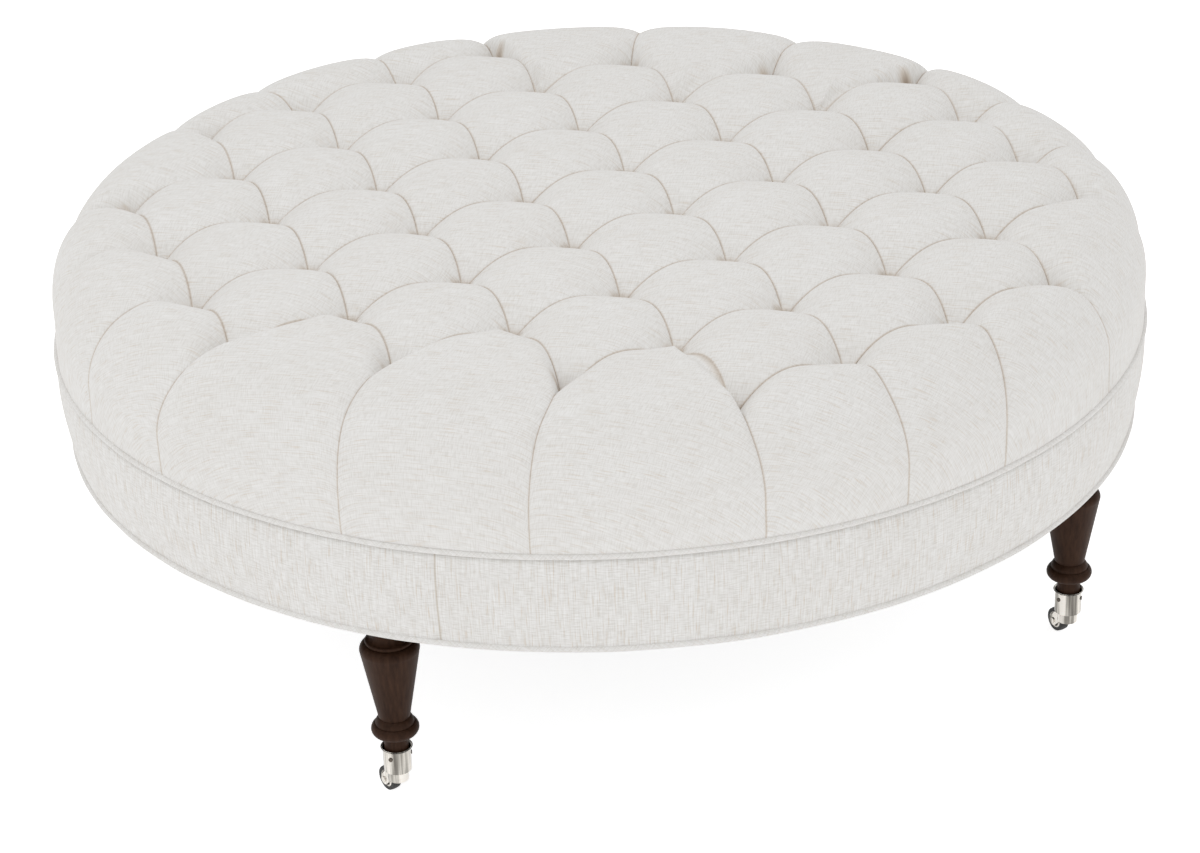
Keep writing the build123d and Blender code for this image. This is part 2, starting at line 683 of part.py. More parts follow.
def wadding():
    inner_radius = FOAM_RADIUS + SOFT_CLEARANCE
    inner_top = DECK_TOP_Z + FOAM_THICK + SOFT_CLEARANCE
    layer = cavity(WADDING_RADIUS, WADDING_TOP_Z, FOAM_ROUND + WADDING_THICK)
    layer -= cavity(inner_radius, inner_top, FOAM_ROUND)
    return cut_each(layer, twine_holes(DECK_TOP_Z, TOP_Z))


def tuft_button(tuft):
    x, y = lattice_point(*tuft)
    z = tuft_floor(tuft)
    edge_z = z + BUTTON_THICK / 3
    top_z = z + BUTTON_THICK
    return Pos(x, y, 0) * turned([(0, z), (BUTTON_RADIUS, z), (BUTTON_RADIUS, edge_z),
                                  (BUTTON_RADIUS / 3, top_z, BUTTON_DOME_SHARE), (0, top_z)])


def tuft_twine(tuft):
    x, y = lattice_point(*tuft)
    knot_z = DECK_Z - WASHER_THICK - KNOT_RADIUS
    knot = Pos(x, y, knot_z) * Sphere(KNOT_RADIUS)
    return rod(TWINE_RADIUS, knot_z, tuft_floor(tuft), x, y) + knot


def tuft_washer(tuft):
    x, y = lattice_point(*tuft)
    washer = rod(WASHER_RADIUS, DECK_Z - WASHER_THICK, DECK_Z, x, y)
    return washer - rod(TWINE_RADIUS + TWINE_HOLE_CLEARANCE, DECK_Z - WASHER_THICK, DECK_Z, x, y)


# Wooden frame
def deck_board():
    deck = rod(FRAME_RADIUS, DECK_Z, DECK_TOP_Z)
    holes = [rod(DECK_HOLE_RADIUS, DECK_Z, DECK_TOP_Z, *lattice_point(*tuft)) for tuft in TUFTS]
    return cut_each(deck, holes + deck_screws())


def bolt_place(corner):
    return polar(LEG_CIRCLE_RADIUS, CORNER_ANGLES[corner])


def bottom_ring():
    body = ring(RING_INNER, FRAME_RADIUS, FRAME_Z, APRON_Z)
    holes = [rod(BOLT_RADIUS + BOLT_HOLE_CLEARANCE, FRAME_Z, APRON_Z, *bolt_place(corner))
             for corner in CORNERS]
    return cut_each(body, holes + ring_screws())


def apron_ring():
    return cut_each(ring(APRON_INNER, FRAME_RADIUS, APRON_Z, DECK_Z), deck_screws() + ring_screws())


def leg_block(corner):
    middle = APRON_INNER - BLOCK_WIDTH / 2
    block = Pos(middle, 0, APRON_Z + BLOCK_HEIGHT / 2) * Box(BLOCK_WIDTH, BLOCK_LENGTH, BLOCK_HEIGHT)
    block = Rot(0, 0, CORNER_ANGLES[corner]) * block
    block &= rod(APRON_INNER - BLOCK_TO_APRON, APRON_Z, BLOCK_TOP_Z)
    x, y = bolt_place(corner)
    block -= rod(NUT_BARREL_RADIUS, BLOCK_TOP_Z - NUT_BARREL_LENGTH, BLOCK_TOP_Z, x, y)
    block -= rod(BOLT_RADIUS + BOLT_HOLE_CLEARANCE, APRON_Z, BLOCK_TOP_Z, x, y)
    return cut_each(block, ring_screws())


def cross_rail(turn, notch_low, notch_high):
    """Rail across the frame, half cut away where the other rail passes."""
    length = 2 * APRON_INNER
    rail = Pos(0, 0, (APRON_Z + DECK_Z) / 2) * Box(length, RAIL_THICK, APRON_HEIGHT)
    notch_middle = (notch_low + notch_high) / 2
    rail -= Pos(0, 0, notch_middle) * Box(RAIL_THICK, RAIL_THICK, notch_high - notch_low)
    rail = Rot(0, 0, turn) * rail
    rail &= rod(APRON_INNER - SOFT_CLEARANCE, APRON_Z, DECK_Z)
    pocket = WASHER_RADIUS + WASHER_POCKET_CLEARANCE
    pocket_z = DECK_Z - WASHER_THICK - 2 * KNOT_RADIUS - WASHER_POCKET_CLEARANCE
    pockets = [rod(pocket, pocket_z, DECK_Z, *lattice_point(*tuft)) for tuft in TUFTS]
    return cut_each(rail, pockets + deck_screws())


# Band, welts and dust cover
def welt(z, inner_radius, flange_low):
    """Piping cord with its sewn flange turned in towards the frame."""
    cord = Pos(BAND_RADIUS, 0, z) * Rot(90, 0, 0) * Circle(WELT_RADIUS)
    flange_high = flange_low + FLANGE_THICK
    flange = Face(rz_wire([(inner_radius, flange_low), (BAND_RADIUS, flange_low),
                           (BAND_RADIUS, flange_high), (inner_radius, flange_high)]))
    return revolve(cord.face().fuse(flange), Axis.Z)


BOTTOM_FLANGE_Z = FRAME_Z - FLANGE_THICK
DUST_COVER_Z = BOTTOM_FLANGE_Z - DUST_COVER_THICK
DUST_COVER_RADIUS = FRAME_RADIUS - DUST_COVER_MARGIN


def top_welt():
    return welt(TOP_WELT_Z, FRAME_RADIUS + SOFT_CLEARANCE, TOP_WELT_Z - FLANGE_THICK / 2)


def bottom_welt():
    return welt(BOTTOM_WELT_Z, BAND_RADIUS - FLANGE_WIDTH, BOTTOM_FLANGE_Z)


def band_padding():
    low = FRAME_Z + SOFT_CLEARANCE
    high = TOP_WELT_Z - FLANGE_THICK / 2 - SOFT_CLEARANCE
    return ring(PADDING_INNER, PADDING_INNER + PADDING_THICK - WELT_RADIUS, low, high)


def band_cover():
    low = BOTTOM_WELT_Z + WELT_RADIUS + SOFT_CLEARANCE
    high = TOP_WELT_Z - WELT_RADIUS - SOFT_CLEARANCE
    return ring(BAND_INNER, BAND_RADIUS, low, high)


def dust_cover():
    sheet = rod(DUST_COVER_RADIUS, DUST_COVER_Z, BOTTOM_FLANGE_Z)
    clear = LEG_CAP_RADIUS + DUST_COVER_LEG_CLEARANCE
    holes = [rod(clear, DUST_COVER_Z, BOTTOM_FLANGE_Z, *bolt_place(corner)) for corner in CORNERS]
    return cut_each(sheet, holes + dust_cover_staples())


def dust_cover_staples():
    staples = []
    for number in range(STAPLES):
        angle = 360 / STAPLES * (number + 0.5)
        staple = Box(STAPLE_WIDTH, STAPLE_LENGTH, STAPLE_THICK)
        place = Pos(DUST_COVER_RADIUS - STAPLE_MARGIN, 0, DUST_COVER_Z + STAPLE_THICK / 2)
        staples.append(Rot(0, 0, angle) * place * staple)
    return staples


# All pieces
def main():
    os.makedirs("parts", exist_ok=True)
    write("tufted_cover", tufted_cover())
    write("foam_core", foam_core())
    write("wadding", wadding())
    write("tuft_buttons", group(tuft_button(tuft) for tuft in TUFTS))
    write("tuft_twine", group(tuft_twine(tuft) for tuft in TUFTS))
    write("tuft_washers", group(tuft_washer(tuft) for tuft in TUFTS))
    write("deck_board", deck_board())
    write("deck_screws", group(deck_screws()))
    write("apron_ring", apron_ring())
    write("bottom_ring", bottom_ring())
    write("ring_screws", group(ring_screws()))
    middle_z = (APRON_Z + DECK_Z) / 2
    write("cross_rail_lower", cross_rail(0, middle_z, DECK_Z))
    write("cross_rail_upper", cross_rail(90, APRON_Z, middle_z))
    write("band_padding", band_padding())
    write("band_cover", band_cover())
    write("top_welt", top_welt())
    write("bottom_welt", bottom_welt())
    write("dust_cover", dust_cover())
    write("dust_cover_staples", group(dust_cover_staples()))
    write("hanger_bolts", group(corner_place(corner) * hanger_bolt() for corner in CORNERS))
    write("tee_nuts", group(corner_place(corner) * tee_nut() for corner in CORNERS))
    write("kingpins", group(corner_place(corner) * kingpin() for corner in CORNERS))
    write("cup_screws", group(corner_place(corner) * screw for corner in CORNERS for screw in cup_screws()))
    for corner in CORNERS:
        write("leg_" + corner, corner_place(corner) * leg())
        write("leg_block_" + corner, leg_block(corner))
        write("caster_cup_" + corner, corner_place(corner) * caster_cup())
        write("caster_horn_" + corner, caster_place(corner) * caster_horn())
        write("caster_axle_" + corner, caster_place(corner) * caster_axle())
        write("caster_hub_" + corner, caster_place(corner) * caster_hub())
        write("caster_tyre_" + corner, caster_place(corner) * caster_tyre())


main()
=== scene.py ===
import math
import bmesh
import bpy
import numpy as np
from mathutils import Matrix, Vector, noise


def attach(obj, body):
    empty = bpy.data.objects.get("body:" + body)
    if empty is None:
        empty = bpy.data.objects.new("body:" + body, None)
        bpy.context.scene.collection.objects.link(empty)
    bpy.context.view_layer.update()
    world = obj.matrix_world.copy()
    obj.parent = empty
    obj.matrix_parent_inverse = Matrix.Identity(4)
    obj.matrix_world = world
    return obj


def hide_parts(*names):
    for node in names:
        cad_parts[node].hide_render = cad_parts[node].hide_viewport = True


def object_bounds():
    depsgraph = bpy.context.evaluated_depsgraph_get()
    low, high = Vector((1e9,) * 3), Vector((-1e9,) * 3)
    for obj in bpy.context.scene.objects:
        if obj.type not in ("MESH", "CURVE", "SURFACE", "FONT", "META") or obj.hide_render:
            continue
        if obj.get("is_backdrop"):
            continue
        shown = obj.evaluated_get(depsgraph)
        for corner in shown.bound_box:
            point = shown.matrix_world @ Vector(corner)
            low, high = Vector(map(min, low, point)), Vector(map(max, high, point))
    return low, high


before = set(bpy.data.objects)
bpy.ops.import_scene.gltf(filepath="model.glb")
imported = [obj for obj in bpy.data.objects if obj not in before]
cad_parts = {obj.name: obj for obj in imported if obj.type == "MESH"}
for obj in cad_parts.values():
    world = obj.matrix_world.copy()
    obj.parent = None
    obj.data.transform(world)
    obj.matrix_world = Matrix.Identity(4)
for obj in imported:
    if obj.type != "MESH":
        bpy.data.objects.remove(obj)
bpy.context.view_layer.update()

# Frame rings and deck: birch plywood, the bottom ring and apron bent and glued, the deck sawn
# round. The grain runs along X and the plies show as stripes on every upright edge.
MIX_SHARE, MIX_FIRST, MIX_SECOND, MIX_RESULT = 0, 6, 7, 2  # a colour mix node's sockets


def start_material(name, color, roughness, metallic=0.0):
    """A node material and its main shader, with the plain numbers set on the shader itself."""
    material = bpy.data.materials.new(name)
    material.use_nodes = True
    shader = material.node_tree.nodes["Principled BSDF"]
    shader.inputs["Base Color"].default_value = (*color, 1.0)
    shader.inputs["Roughness"].default_value = roughness
    shader.inputs["Metallic"].default_value = metallic
    return material, shader


def add_node(material, kind, inputs=None, **settings):
    """A node with its settings, and the values of the inputs that nothing is wired to."""
    node = material.node_tree.nodes.new(kind)
    for key, value in settings.items():
        setattr(node, key, value)
    for key, value in (inputs or {}).items():
        node.inputs[key].default_value = value
    return node


def wire(material, source, socket, target, target_socket):
    material.node_tree.links.new(source.outputs[socket], target.inputs[target_socket])


def pattern_space(material, scale=(1.0, 1.0, 1.0), turn=(0.0, 0.0, 0.0), source="Object"):
    """Coordinates on the piece, turned and stretched to the pattern's own scale."""
    coordinates = add_node(material, "ShaderNodeTexCoord")
    turning = add_node(material, "ShaderNodeMapping", {"Rotation": turn})
    mapping = add_node(material, "ShaderNodeMapping", {"Scale": scale})
    wire(material, coordinates, source, turning, "Vector")
    wire(material, turning, "Vector", mapping, "Vector")
    return mapping


def stretched_noise(material, scale, detail=3.0, roughness=0.5, **space):
    """Noise drawn out by its own scale along each axis of the piece."""
    texture = add_node(material, "ShaderNodeTexNoise",
                       {"Scale": 1.0, "Detail": detail, "Roughness": roughness})
    wire(material, pattern_space(material, scale, **space), "Vector", texture, "Vector")
    return texture


def color_ramp(material, source, socket, stops):
    """A ramp of (place, linear colour) stops fed by a texture."""
    ramp = add_node(material, "ShaderNodeValToRGB")
    elements = ramp.color_ramp.elements
    while len(elements) < len(stops):
        elements.new(0.5)
    for element, (place, color) in zip(elements, stops):
        element.position = place
        element.color = (*color, 1.0)
    wire(material, source, socket, ramp, "Fac")
    return ramp


def color_by(material, shader, source, socket, stops):
    """Colour a whole finish by one texture, through a ramp."""
    wire(material, color_ramp(material, source, socket, stops), "Color", shader, "Base Color")


def mix_colors(material, first, second, share=None):
    """Mix two colours by a share, or multiply them where there is none. Each is (node, socket)."""
    mix = add_node(material, "ShaderNodeMix", {MIX_SHARE: 1.0}, data_type="RGBA",
                   blend_type="MIX" if share else "MULTIPLY")
    wire(material, *first, mix, MIX_FIRST)
    wire(material, *second, mix, MIX_SECOND)
    if share:
        wire(material, *share, mix, MIX_SHARE)
    return mix, MIX_RESULT


def add_bump(material, shader, source, socket, strength, distance, under=None):
    """Raise the surface by a texture, on top of another bump where there is one under it."""
    bump = add_node(material, "ShaderNodeBump", {"Strength": strength, "Distance": distance})
    wire(material, source, socket, bump, "Height")
    if under:
        wire(material, under, "Normal", bump, "Normal")
    wire(material, bump, "Normal", shader, "Normal")
    return bump


def dress(names, material):
    """Give CAD pieces their finish."""
    for name in names:
        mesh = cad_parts[name].data
        mesh.materials.clear()
        mesh.materials.append(material)


plywood, plywood_shader = start_material("birch_plywood", (0.62, 0.46, 0.28), roughness=0.62)
grain = stretched_noise(plywood, (9.0, 160.0, 160.0), detail=4.0, roughness=0.6)
grain_color = color_ramp(plywood, grain, "Fac", [(0.3, (0.50, 0.35, 0.20)),
                                                 (0.7, (0.66, 0.50, 0.32))])
plies = add_node(plywood, "ShaderNodeTexWave", {"Scale": 105.0, "Distortion": 0.4, "Detail": 1.0},
                 bands_direction="Z", wave_profile="SIN")
wire(plywood, pattern_space(plywood), "Vector", plies, "Vector")
ply_color = color_ramp(plywood, plies, "Fac", [(0.35, (0.33, 0.21, 0.12)),
                                               (0.65, (0.70, 0.55, 0.36))])
surface = add_node(plywood, "ShaderNodeNewGeometry")
facing = add_node(plywood, "ShaderNodeSeparateXYZ")
wire(plywood, surface, "Normal", facing, "Vector")
level_face = add_node(plywood, "ShaderNodeMath", operation="ABSOLUTE")
wire(plywood, facing, "Z", level_face, 0)
wire(plywood, *mix_colors(plywood, (ply_color, "Color"), (grain_color, "Color"),
                          (level_face, "Value")), plywood_shader, "Base Color")
add_bump(plywood, plywood_shader, grain, "Fac", strength=0.25, distance=0.0006)
dress(["bottom_ring", "apron_ring", "deck_board"], plywood)

# Cross rails and leg blocks: sawn hardwood, glued and screwed inside the frame. They are left
# rough, with the saw's marks across the grain.
CORNERS = {"front_left": -135, "front_right": -45, "back_right": 45, "back_left": 135}


def at_corners(stem):
    """The names of a piece that stands once at each corner."""
    return [stem + corner for corner in CORNERS]


hardwood, hardwood_shader = start_material("sawn_hardwood", (0.58, 0.44, 0.28), roughness=0.7)
fibres = stretched_noise(hardwood, (14.0, 130.0, 130.0), detail=5.0, roughness=0.65)
color_by(hardwood, hardwood_shader, fibres, "Fac", [(0.25, (0.42, 0.29, 0.17)),
                                                    (0.75, (0.62, 0.48, 0.31))])
saw_marks = add_node(hardwood, "ShaderNodeTexWave",
                     {"Scale": 90.0, "Distortion": 2.0, "Detail": 2.0}, bands_direction="X")
wire(hardwood, pattern_space(hardwood), "Vector", saw_marks, "Vector")
add_bump(hardwood, hardwood_shader, saw_marks, "Fac", strength=0.15, distance=0.0004)
dress(["cross_rail_lower", "cross_rail_upper"] + at_corners("leg_block_"), hardwood)

# Screws, bolts, nuts, washers and staples: bright zinc-plated steel, mostly out of sight. The
# plating has faint clouds.
zinc, zinc_shader = start_material("zinc_plate", (0.52, 0.52, 0.51), roughness=0.34, metallic=1.0)
clouds = stretched_noise(zinc, (220.0, 220.0, 220.0))
color_by(zinc, zinc_shader, clouds, "Fac", [(0.3, (0.42, 0.42, 0.42)), (0.7, (0.60, 0.60, 0.585))])
add_bump(zinc, zinc_shader, clouds, "Fac", strength=0.1, distance=0.0002)
dress(["deck_screws", "ring_screws", "hanger_bolts", "tee_nuts", "tuft_washers",
       "dust_cover_staples", "kingpins"], zinc)

# Foam core: a slab of open-cell upholstery foam glued to the deck. It is pale yellow with
# small pores.
foam, foam_shader = start_material("open_cell_foam", (0.83, 0.79, 0.62), roughness=0.95)
pores = add_node(foam, "ShaderNodeTexVoronoi", {"Scale": 900.0})
wire(foam, pattern_space(foam), "Vector", pores, "Vector")
color_by(foam, foam_shader, pores, "Distance", [(0.1, (0.66, 0.60, 0.42)),
                                                (0.5, (0.84, 0.80, 0.63))])
add_bump(foam, foam_shader, pores, "Distance", strength=0.4, distance=0.0006)
dress(["foam_core"], foam)

# Wadding over the foam and padding behind the band: white polyester fibre, laid loose and
# held by the cover.
fibre, fibre_shader = start_material("polyester_wadding", (0.86, 0.86, 0.85), roughness=1.0)
tangle = stretched_noise(fibre, (240.0, 240.0, 240.0), detail=8.0, roughness=0.75)
color_by(fibre, fibre_shader, tangle, "Fac", [(0.3, (0.74, 0.74, 0.73)), (0.7, (0.9, 0.9, 0.89))])
add_bump(fibre, fibre_shader, tangle, "Fac", strength=0.6, distance=0.002)
dress(["wadding", "band_padding"], fibre)

# Tuft twine: waxed upholstery cord from each button down through the deck, knotted under
# a washer. Two strands twist round each other.
twine, twine_shader = start_material("waxed_twine", (0.78, 0.72, 0.6), roughness=0.7)
strands = add_node(twine, "ShaderNodeTexWave", {"Scale": 260.0, "Distortion": 1.0},
                   bands_direction="DIAGONAL")
wire(twine, pattern_space(twine), "Vector", strands, "Vector")
color_by(twine, twine_shader, strands, "Fac", [(0.2, (0.60, 0.53, 0.42)),
                                               (0.8, (0.80, 0.74, 0.62))])
add_bump(twine, twine_shader, strands, "Fac", strength=0.5, distance=0.0004)
dress(["tuft_twine"], twine)

# Tufted cover: one piece of off-white linen-weave cloth over foam and fibre, pulled down by
# fifty buttons. The spare cloth is folded into a pleat between every two buttons, and from the
# outer buttons over the shoulder down to the welt.
TUFT_PITCH = 0.1778
TUFT_ROW = 0.1143
TUFTS_TURN = math.radians(-37.2)
TUFTS_RADIUS = 0.558
TUFTS_COUNTED = range(-12, 12)
NOTCH_SLACK = 0.05
TOP_Z = 0.471
TUFT_Z = 0.431
EDGE_TUFT_Z = 0.423
PLEAT_Z = 0.460


def tuft_place(i, j):
    """Plan place of a tuft, with the middle of the top in the middle of a diamond."""
    u, v = i + 0.5, j + 0.5
    x, y = (u + v) * TUFT_PITCH / 2, (v - u) * TUFT_ROW
    return np.array([x * math.cos(TUFTS_TURN) - y * math.sin(TUFTS_TURN),
                     x * math.sin(TUFTS_TURN) + y * math.cos(TUFTS_TURN)])


def corners_of(i, j):
    """The four tufts of a diamond, in order round it."""
    return [(i, j), (i + 1, j), (i + 1, j + 1), (i, j + 1)]


inside = {(i, j) for i in TUFTS_COUNTED for j in TUFTS_COUNTED
          if np.hypot(*tuft_place(i, j)) <= TUFTS_RADIUS}
diamonds = sorted((i, j) for i, j in inside if all(tuft in inside for tuft in corners_of(i, j)))
tufts = sorted({tuft for diamond in diamonds for tuft in corners_of(*diamond)})
pleats = set()
for diamond in diamonds:
    corners = corners_of(*diamond)
    pleats.update(zip(corners, corners[1:] + corners[:1]))
next_tuft = {start: end for start, end in pleats if (end, start) not in pleats}
outline = [min(next_tuft)]
while next_tuft[outline[-1]] != outline[0]:
    outline.append(next_tuft[outline[-1]])


def turns_in(index):
    """True at a notch of the tufted field's outline, where no pleat runs outwards."""
    before, here, after = (tuft_place(*outline[(index + k) % len(outline)]) for k in (-1, 0, 1))
    return np.cross(here - before, after - here) < -NOTCH_SLACK * TUFT_PITCH * TUFT_ROW


edge_tufts = [tuft for index, tuft in enumerate(outline) if not turns_in(index)]


def tuft_floor(tuft):
    return EDGE_TUFT_Z if tuft in edge_tufts else TUFT_Z


# Round each tuft the cloth sinks into a small funnel with fine gathers.
FUNNEL_TOP_Z = TOP_Z + 0.006
FUNNEL_RADIUS = 0.005
FUNNEL_WIDTH = 0.022
FUNNEL_SOFT = 0.004
GATHERS = 11
GATHER_HEIGHT = 0.0006
GATHER_REACH = 0.014
GATHER_FADE = 0.011
GATHER_START = 0.006
PRESSED_FROM_Z = 0.40
# Shade is painted into the cloth's colour round each tuft: deep in the hole, faint in a halo.
HOLE_SHADE_REACH = 0.009
HALO_SHADE_REACH = 0.013
HALO_SHADE = 0.3
tuft_places = np.array([tuft_place(*tuft) for tuft in tufts])
tuft_floors = np.array([tuft_floor(tuft) for tuft in tufts])


def sink_tufts(place, gather_height=GATHER_HEIGHT):
    """Press the funnels into a grid's heights, and give each point's reach from its tuft."""
    flat = place[..., :2].reshape(-1, 2)
    distance = np.hypot(flat[:, None, 0] - tuft_places[None, :, 0],
                        flat[:, None, 1] - tuft_places[None, :, 1])
    nearest = distance.argmin(1)
    reach = distance.min(1)
    spoke = flat - tuft_places[nearest]
    angle = np.arctan2(spoke[:, 1], spoke[:, 0])
    gather = gather_height * np.sin(GATHERS * angle + 1.7 * nearest) \
        * np.exp(-np.abs(reach - GATHER_REACH) / GATHER_FADE)
    climb = 1 - (1 - np.clip((reach - FUNNEL_RADIUS) / FUNNEL_WIDTH, 0, 1)) ** 2.2
    funnel = tuft_floors[nearest] + (FUNNEL_TOP_Z - tuft_floors[nearest]) * climb
    height = place[..., 2].reshape(-1)
    share = np.clip(0.5 + 0.5 * (funnel - height) / FUNNEL_SOFT, 0, 1)
    sunk = funnel * (1 - share) + height * share - FUNNEL_SOFT * share * (1 - share)
    sunk = sunk + gather * np.clip(reach / GATHER_START, 0, 1)
    place[..., 2] = np.where(height > PRESSED_FROM_Z, sunk, height).reshape(place.shape[:2])
    return reach.reshape(place.shape[:2])


def painted_tuft_shade(reach):
    """How much shade is painted into the cloth by its distance from the nearest tuft."""
    return np.maximum(HALO_SHADE * np.exp(-(reach / HALO_SHADE_REACH) ** 2),
                      np.exp(-(reach / HOLE_SHADE_REACH) ** 2))


def arch(share):
    """Rises from 0 at either end of a run to 1 in its middle, like half an ellipse."""
    near = np.minimum(share, 1 - share)
    return np.sqrt(np.maximum(0.0, 1 - (1 - 2 * near) ** 2))


def pleat_rise(share):
    """Height of a pleat between two tufts, as a share of its full rise."""
    return np.sin(math.pi * np.clip(share, 0, 1)) ** 0.8


def bow(share):
    """Sideways swing of a pleat between two tufts, as a share of its most."""
    return 4 * share * (1 - share)


def cloth_place(flat):
    """Cloth coordinates of plan points: u along the tuft rows, v across them."""
    c, s = math.cos(TUFTS_TURN), math.sin(TUFTS_TURN)
    return np.stack([flat[..., 0] * c + flat[..., 1] * s, -flat[..., 0] * s + flat[..., 1] * c], -1)


points, faces, uvs, painted_shades = [], [], [], []


def add_grid(place, cloth, painted_shade):
    """Add a grid of points, with its cloth coordinates and the shade painted into each point's
    colour.
    """
    rows, columns = place.shape[:2]
    first = len(points)
    points.extend(place.reshape(-1, 3))
    uvs.extend(cloth.reshape(-1, 2))
    painted_shades.extend(painted_shade.reshape(-1))
    for row in range(rows - 1):
        for column in range(columns - 1):
            a = first + row * columns + column
            faces.append((a, a + 1, a + columns + 1, a + columns))


# Each diamond is a pillow, with its crown in the middle and a bowed pleat along each side.
GRID = 30
STEEP_BOW = np.array([0.0085, 0.0])
FLAT_BOW = np.array([-0.001, 0.0035])
CROWN_CHANGE = 0.0014
# Shade painted into the cloth's colour along each pleat, and its width.
PLEAT_SHADE = 0.5
PLEAT_SHADE_WIDTH = 0.0013
graded = 0.5 - 0.5 * np.cos(np.linspace(0, math.pi, GRID + 1))
pleat_gap = TUFT_PITCH * TUFT_ROW / math.hypot(TUFT_PITCH / 2, TUFT_ROW)
s, t = np.meshgrid(graded, graded, indexing="ij")
for number, diamond in enumerate(diamonds):
    corners = corners_of(*diamond)
    a, b, c, d = (tuft_place(*corner) for corner in corners)
    floors = [tuft_floor(corner) for corner in corners]
    flat = ((1 - s) * (1 - t))[..., None] * a + (s * (1 - t))[..., None] * b \
        + (s * t)[..., None] * c + ((1 - s) * t)[..., None] * d
    flat = flat + bow(s)[..., None] * STEEP_BOW + bow(t)[..., None] * FLAT_BOW
    low = (1 - s) * (1 - t) * floors[0] + s * (1 - t) * floors[1] \
        + s * t * floors[2] + (1 - s) * t * floors[3]
    base = low + (PLEAT_Z - low) * (1 - (1 - pleat_rise(s)) * (1 - pleat_rise(t)))
    crown = TOP_Z - PLEAT_Z + CROWN_CHANGE * math.sin(5.1 * number)
    height = base + crown * (arch(s) * arch(t)) ** 1.25
    place = np.concatenate([flat, height[..., None]], -1)
    reach = sink_tufts(place)
    gap = pleat_gap * np.minimum(np.minimum(s, 1 - s), np.minimum(t, 1 - t))
    painted_shade = PLEAT_SHADE * np.exp(-(gap / PLEAT_SHADE_WIDTH) ** 2)
    add_grid(place, cloth_place(flat), np.maximum(painted_shade, painted_tuft_shade(reach)))

# Beyond the outermost pleats the cloth runs over the shoulder and down to the welt, in pillows
# between the side pleats, and is turned in there under the foam.
SIDE_RADIUS = 0.6185
SHOULDER_ROUND = 0.085
HEM_RADIUS = 0.6115
HEM_Z = 0.3342
TURNED_IN_RADIUS = 0.598
DECK_TOP_Z = 0.3252
UNDERSIDE = ((TURNED_IN_RADIUS, HEM_Z), (TURNED_IN_RADIUS, DECK_TOP_Z), (0.3, DECK_TOP_Z),
             (0.0, DECK_TOP_Z))
CREASE_WIDTH = 0.015
VALLEY_WIDTH = 0.032
CREST_DIP = 0.0035
CREST_CREASE = 0.0065
SIDE_DIP = 0.0012
SIDE_CREASE = 0.0028
SIDE_RISE_RUN = 0.058
START_FUNNEL_RUN = 0.004
PLEAT_FAN = 0.4
PLEAT_FAN_RUN = 0.0022
SIDE_CLOTH = 0.9
# Widths of the shade painted along the side pleats and along their start, and its share at the hem.
SIDE_SHADE_WIDTH = 0.0011
START_SHADE_WIDTH = 0.0018
HEM_SHADE = 0.5
RIM_SLIPS = {(0, -4): -1.4, (1, -3): 2.1, (2, -2): -1.5, (3, -1): 1.1, (3, 1): -4.5, (2, 3): 1.6,
             (0, 3): -1.2, (-1, 3): 1.3, (-3, 1): -1.8, (-4, 0): 1.0, (-4, -2): 1.5}
OVAL = 0.007
OVAL_TURN = math.radians(-20.6)
side_grid = np.concatenate([np.linspace(0, 1, GRID + 1) ** 1.25, 1 + np.linspace(0, 1, 13)[1:]])


def rim_slip(tuft):
    """How far round the side pleat from an outer tuft swings before it meets the welt."""
    return math.radians(RIM_SLIPS.get(tuft, 0.0))


def past(turn_from, turn):
    """An angle round the top, with a full turn added where it has passed the back."""
    return np.where(turn < turn_from - 0.5, turn + 2 * math.pi, turn)


def oval(turn):
    """How far the hem stands out beyond a true circle at an angle round the top."""
    return OVAL * np.cos(turn - OVAL_TURN) ** 4


def outline_between(first, second):
    """The pairs of neighbouring tufts from one outer tuft to the next along the outline."""
    index = outline.index(first)
    path = [first]
    while path[-1] != second:
        index = (index + 1) % len(outline)
        path.append(outline[index])
    return list(zip(path, path[1:]))


def side_start(near_tuft, far_tuft):
    """Plan places and heights along the outermost pleat between two tufts."""
    near, far = tuft_place(*near_tuft), tuft_place(*far_tuft)
    swing = STEEP_BOW if near_tuft[1] == far_tuft[1] else FLAT_BOW
    start = near[None] + graded[:, None] * (far - near)[None] + bow(graded)[:, None] * swing[None]
    floors = tuft_floor(near_tuft) + graded * (tuft_floor(far_tuft) - tuft_floor(near_tuft))
    return start, floors + (PLEAT_Z - floors) * pleat_rise(graded)


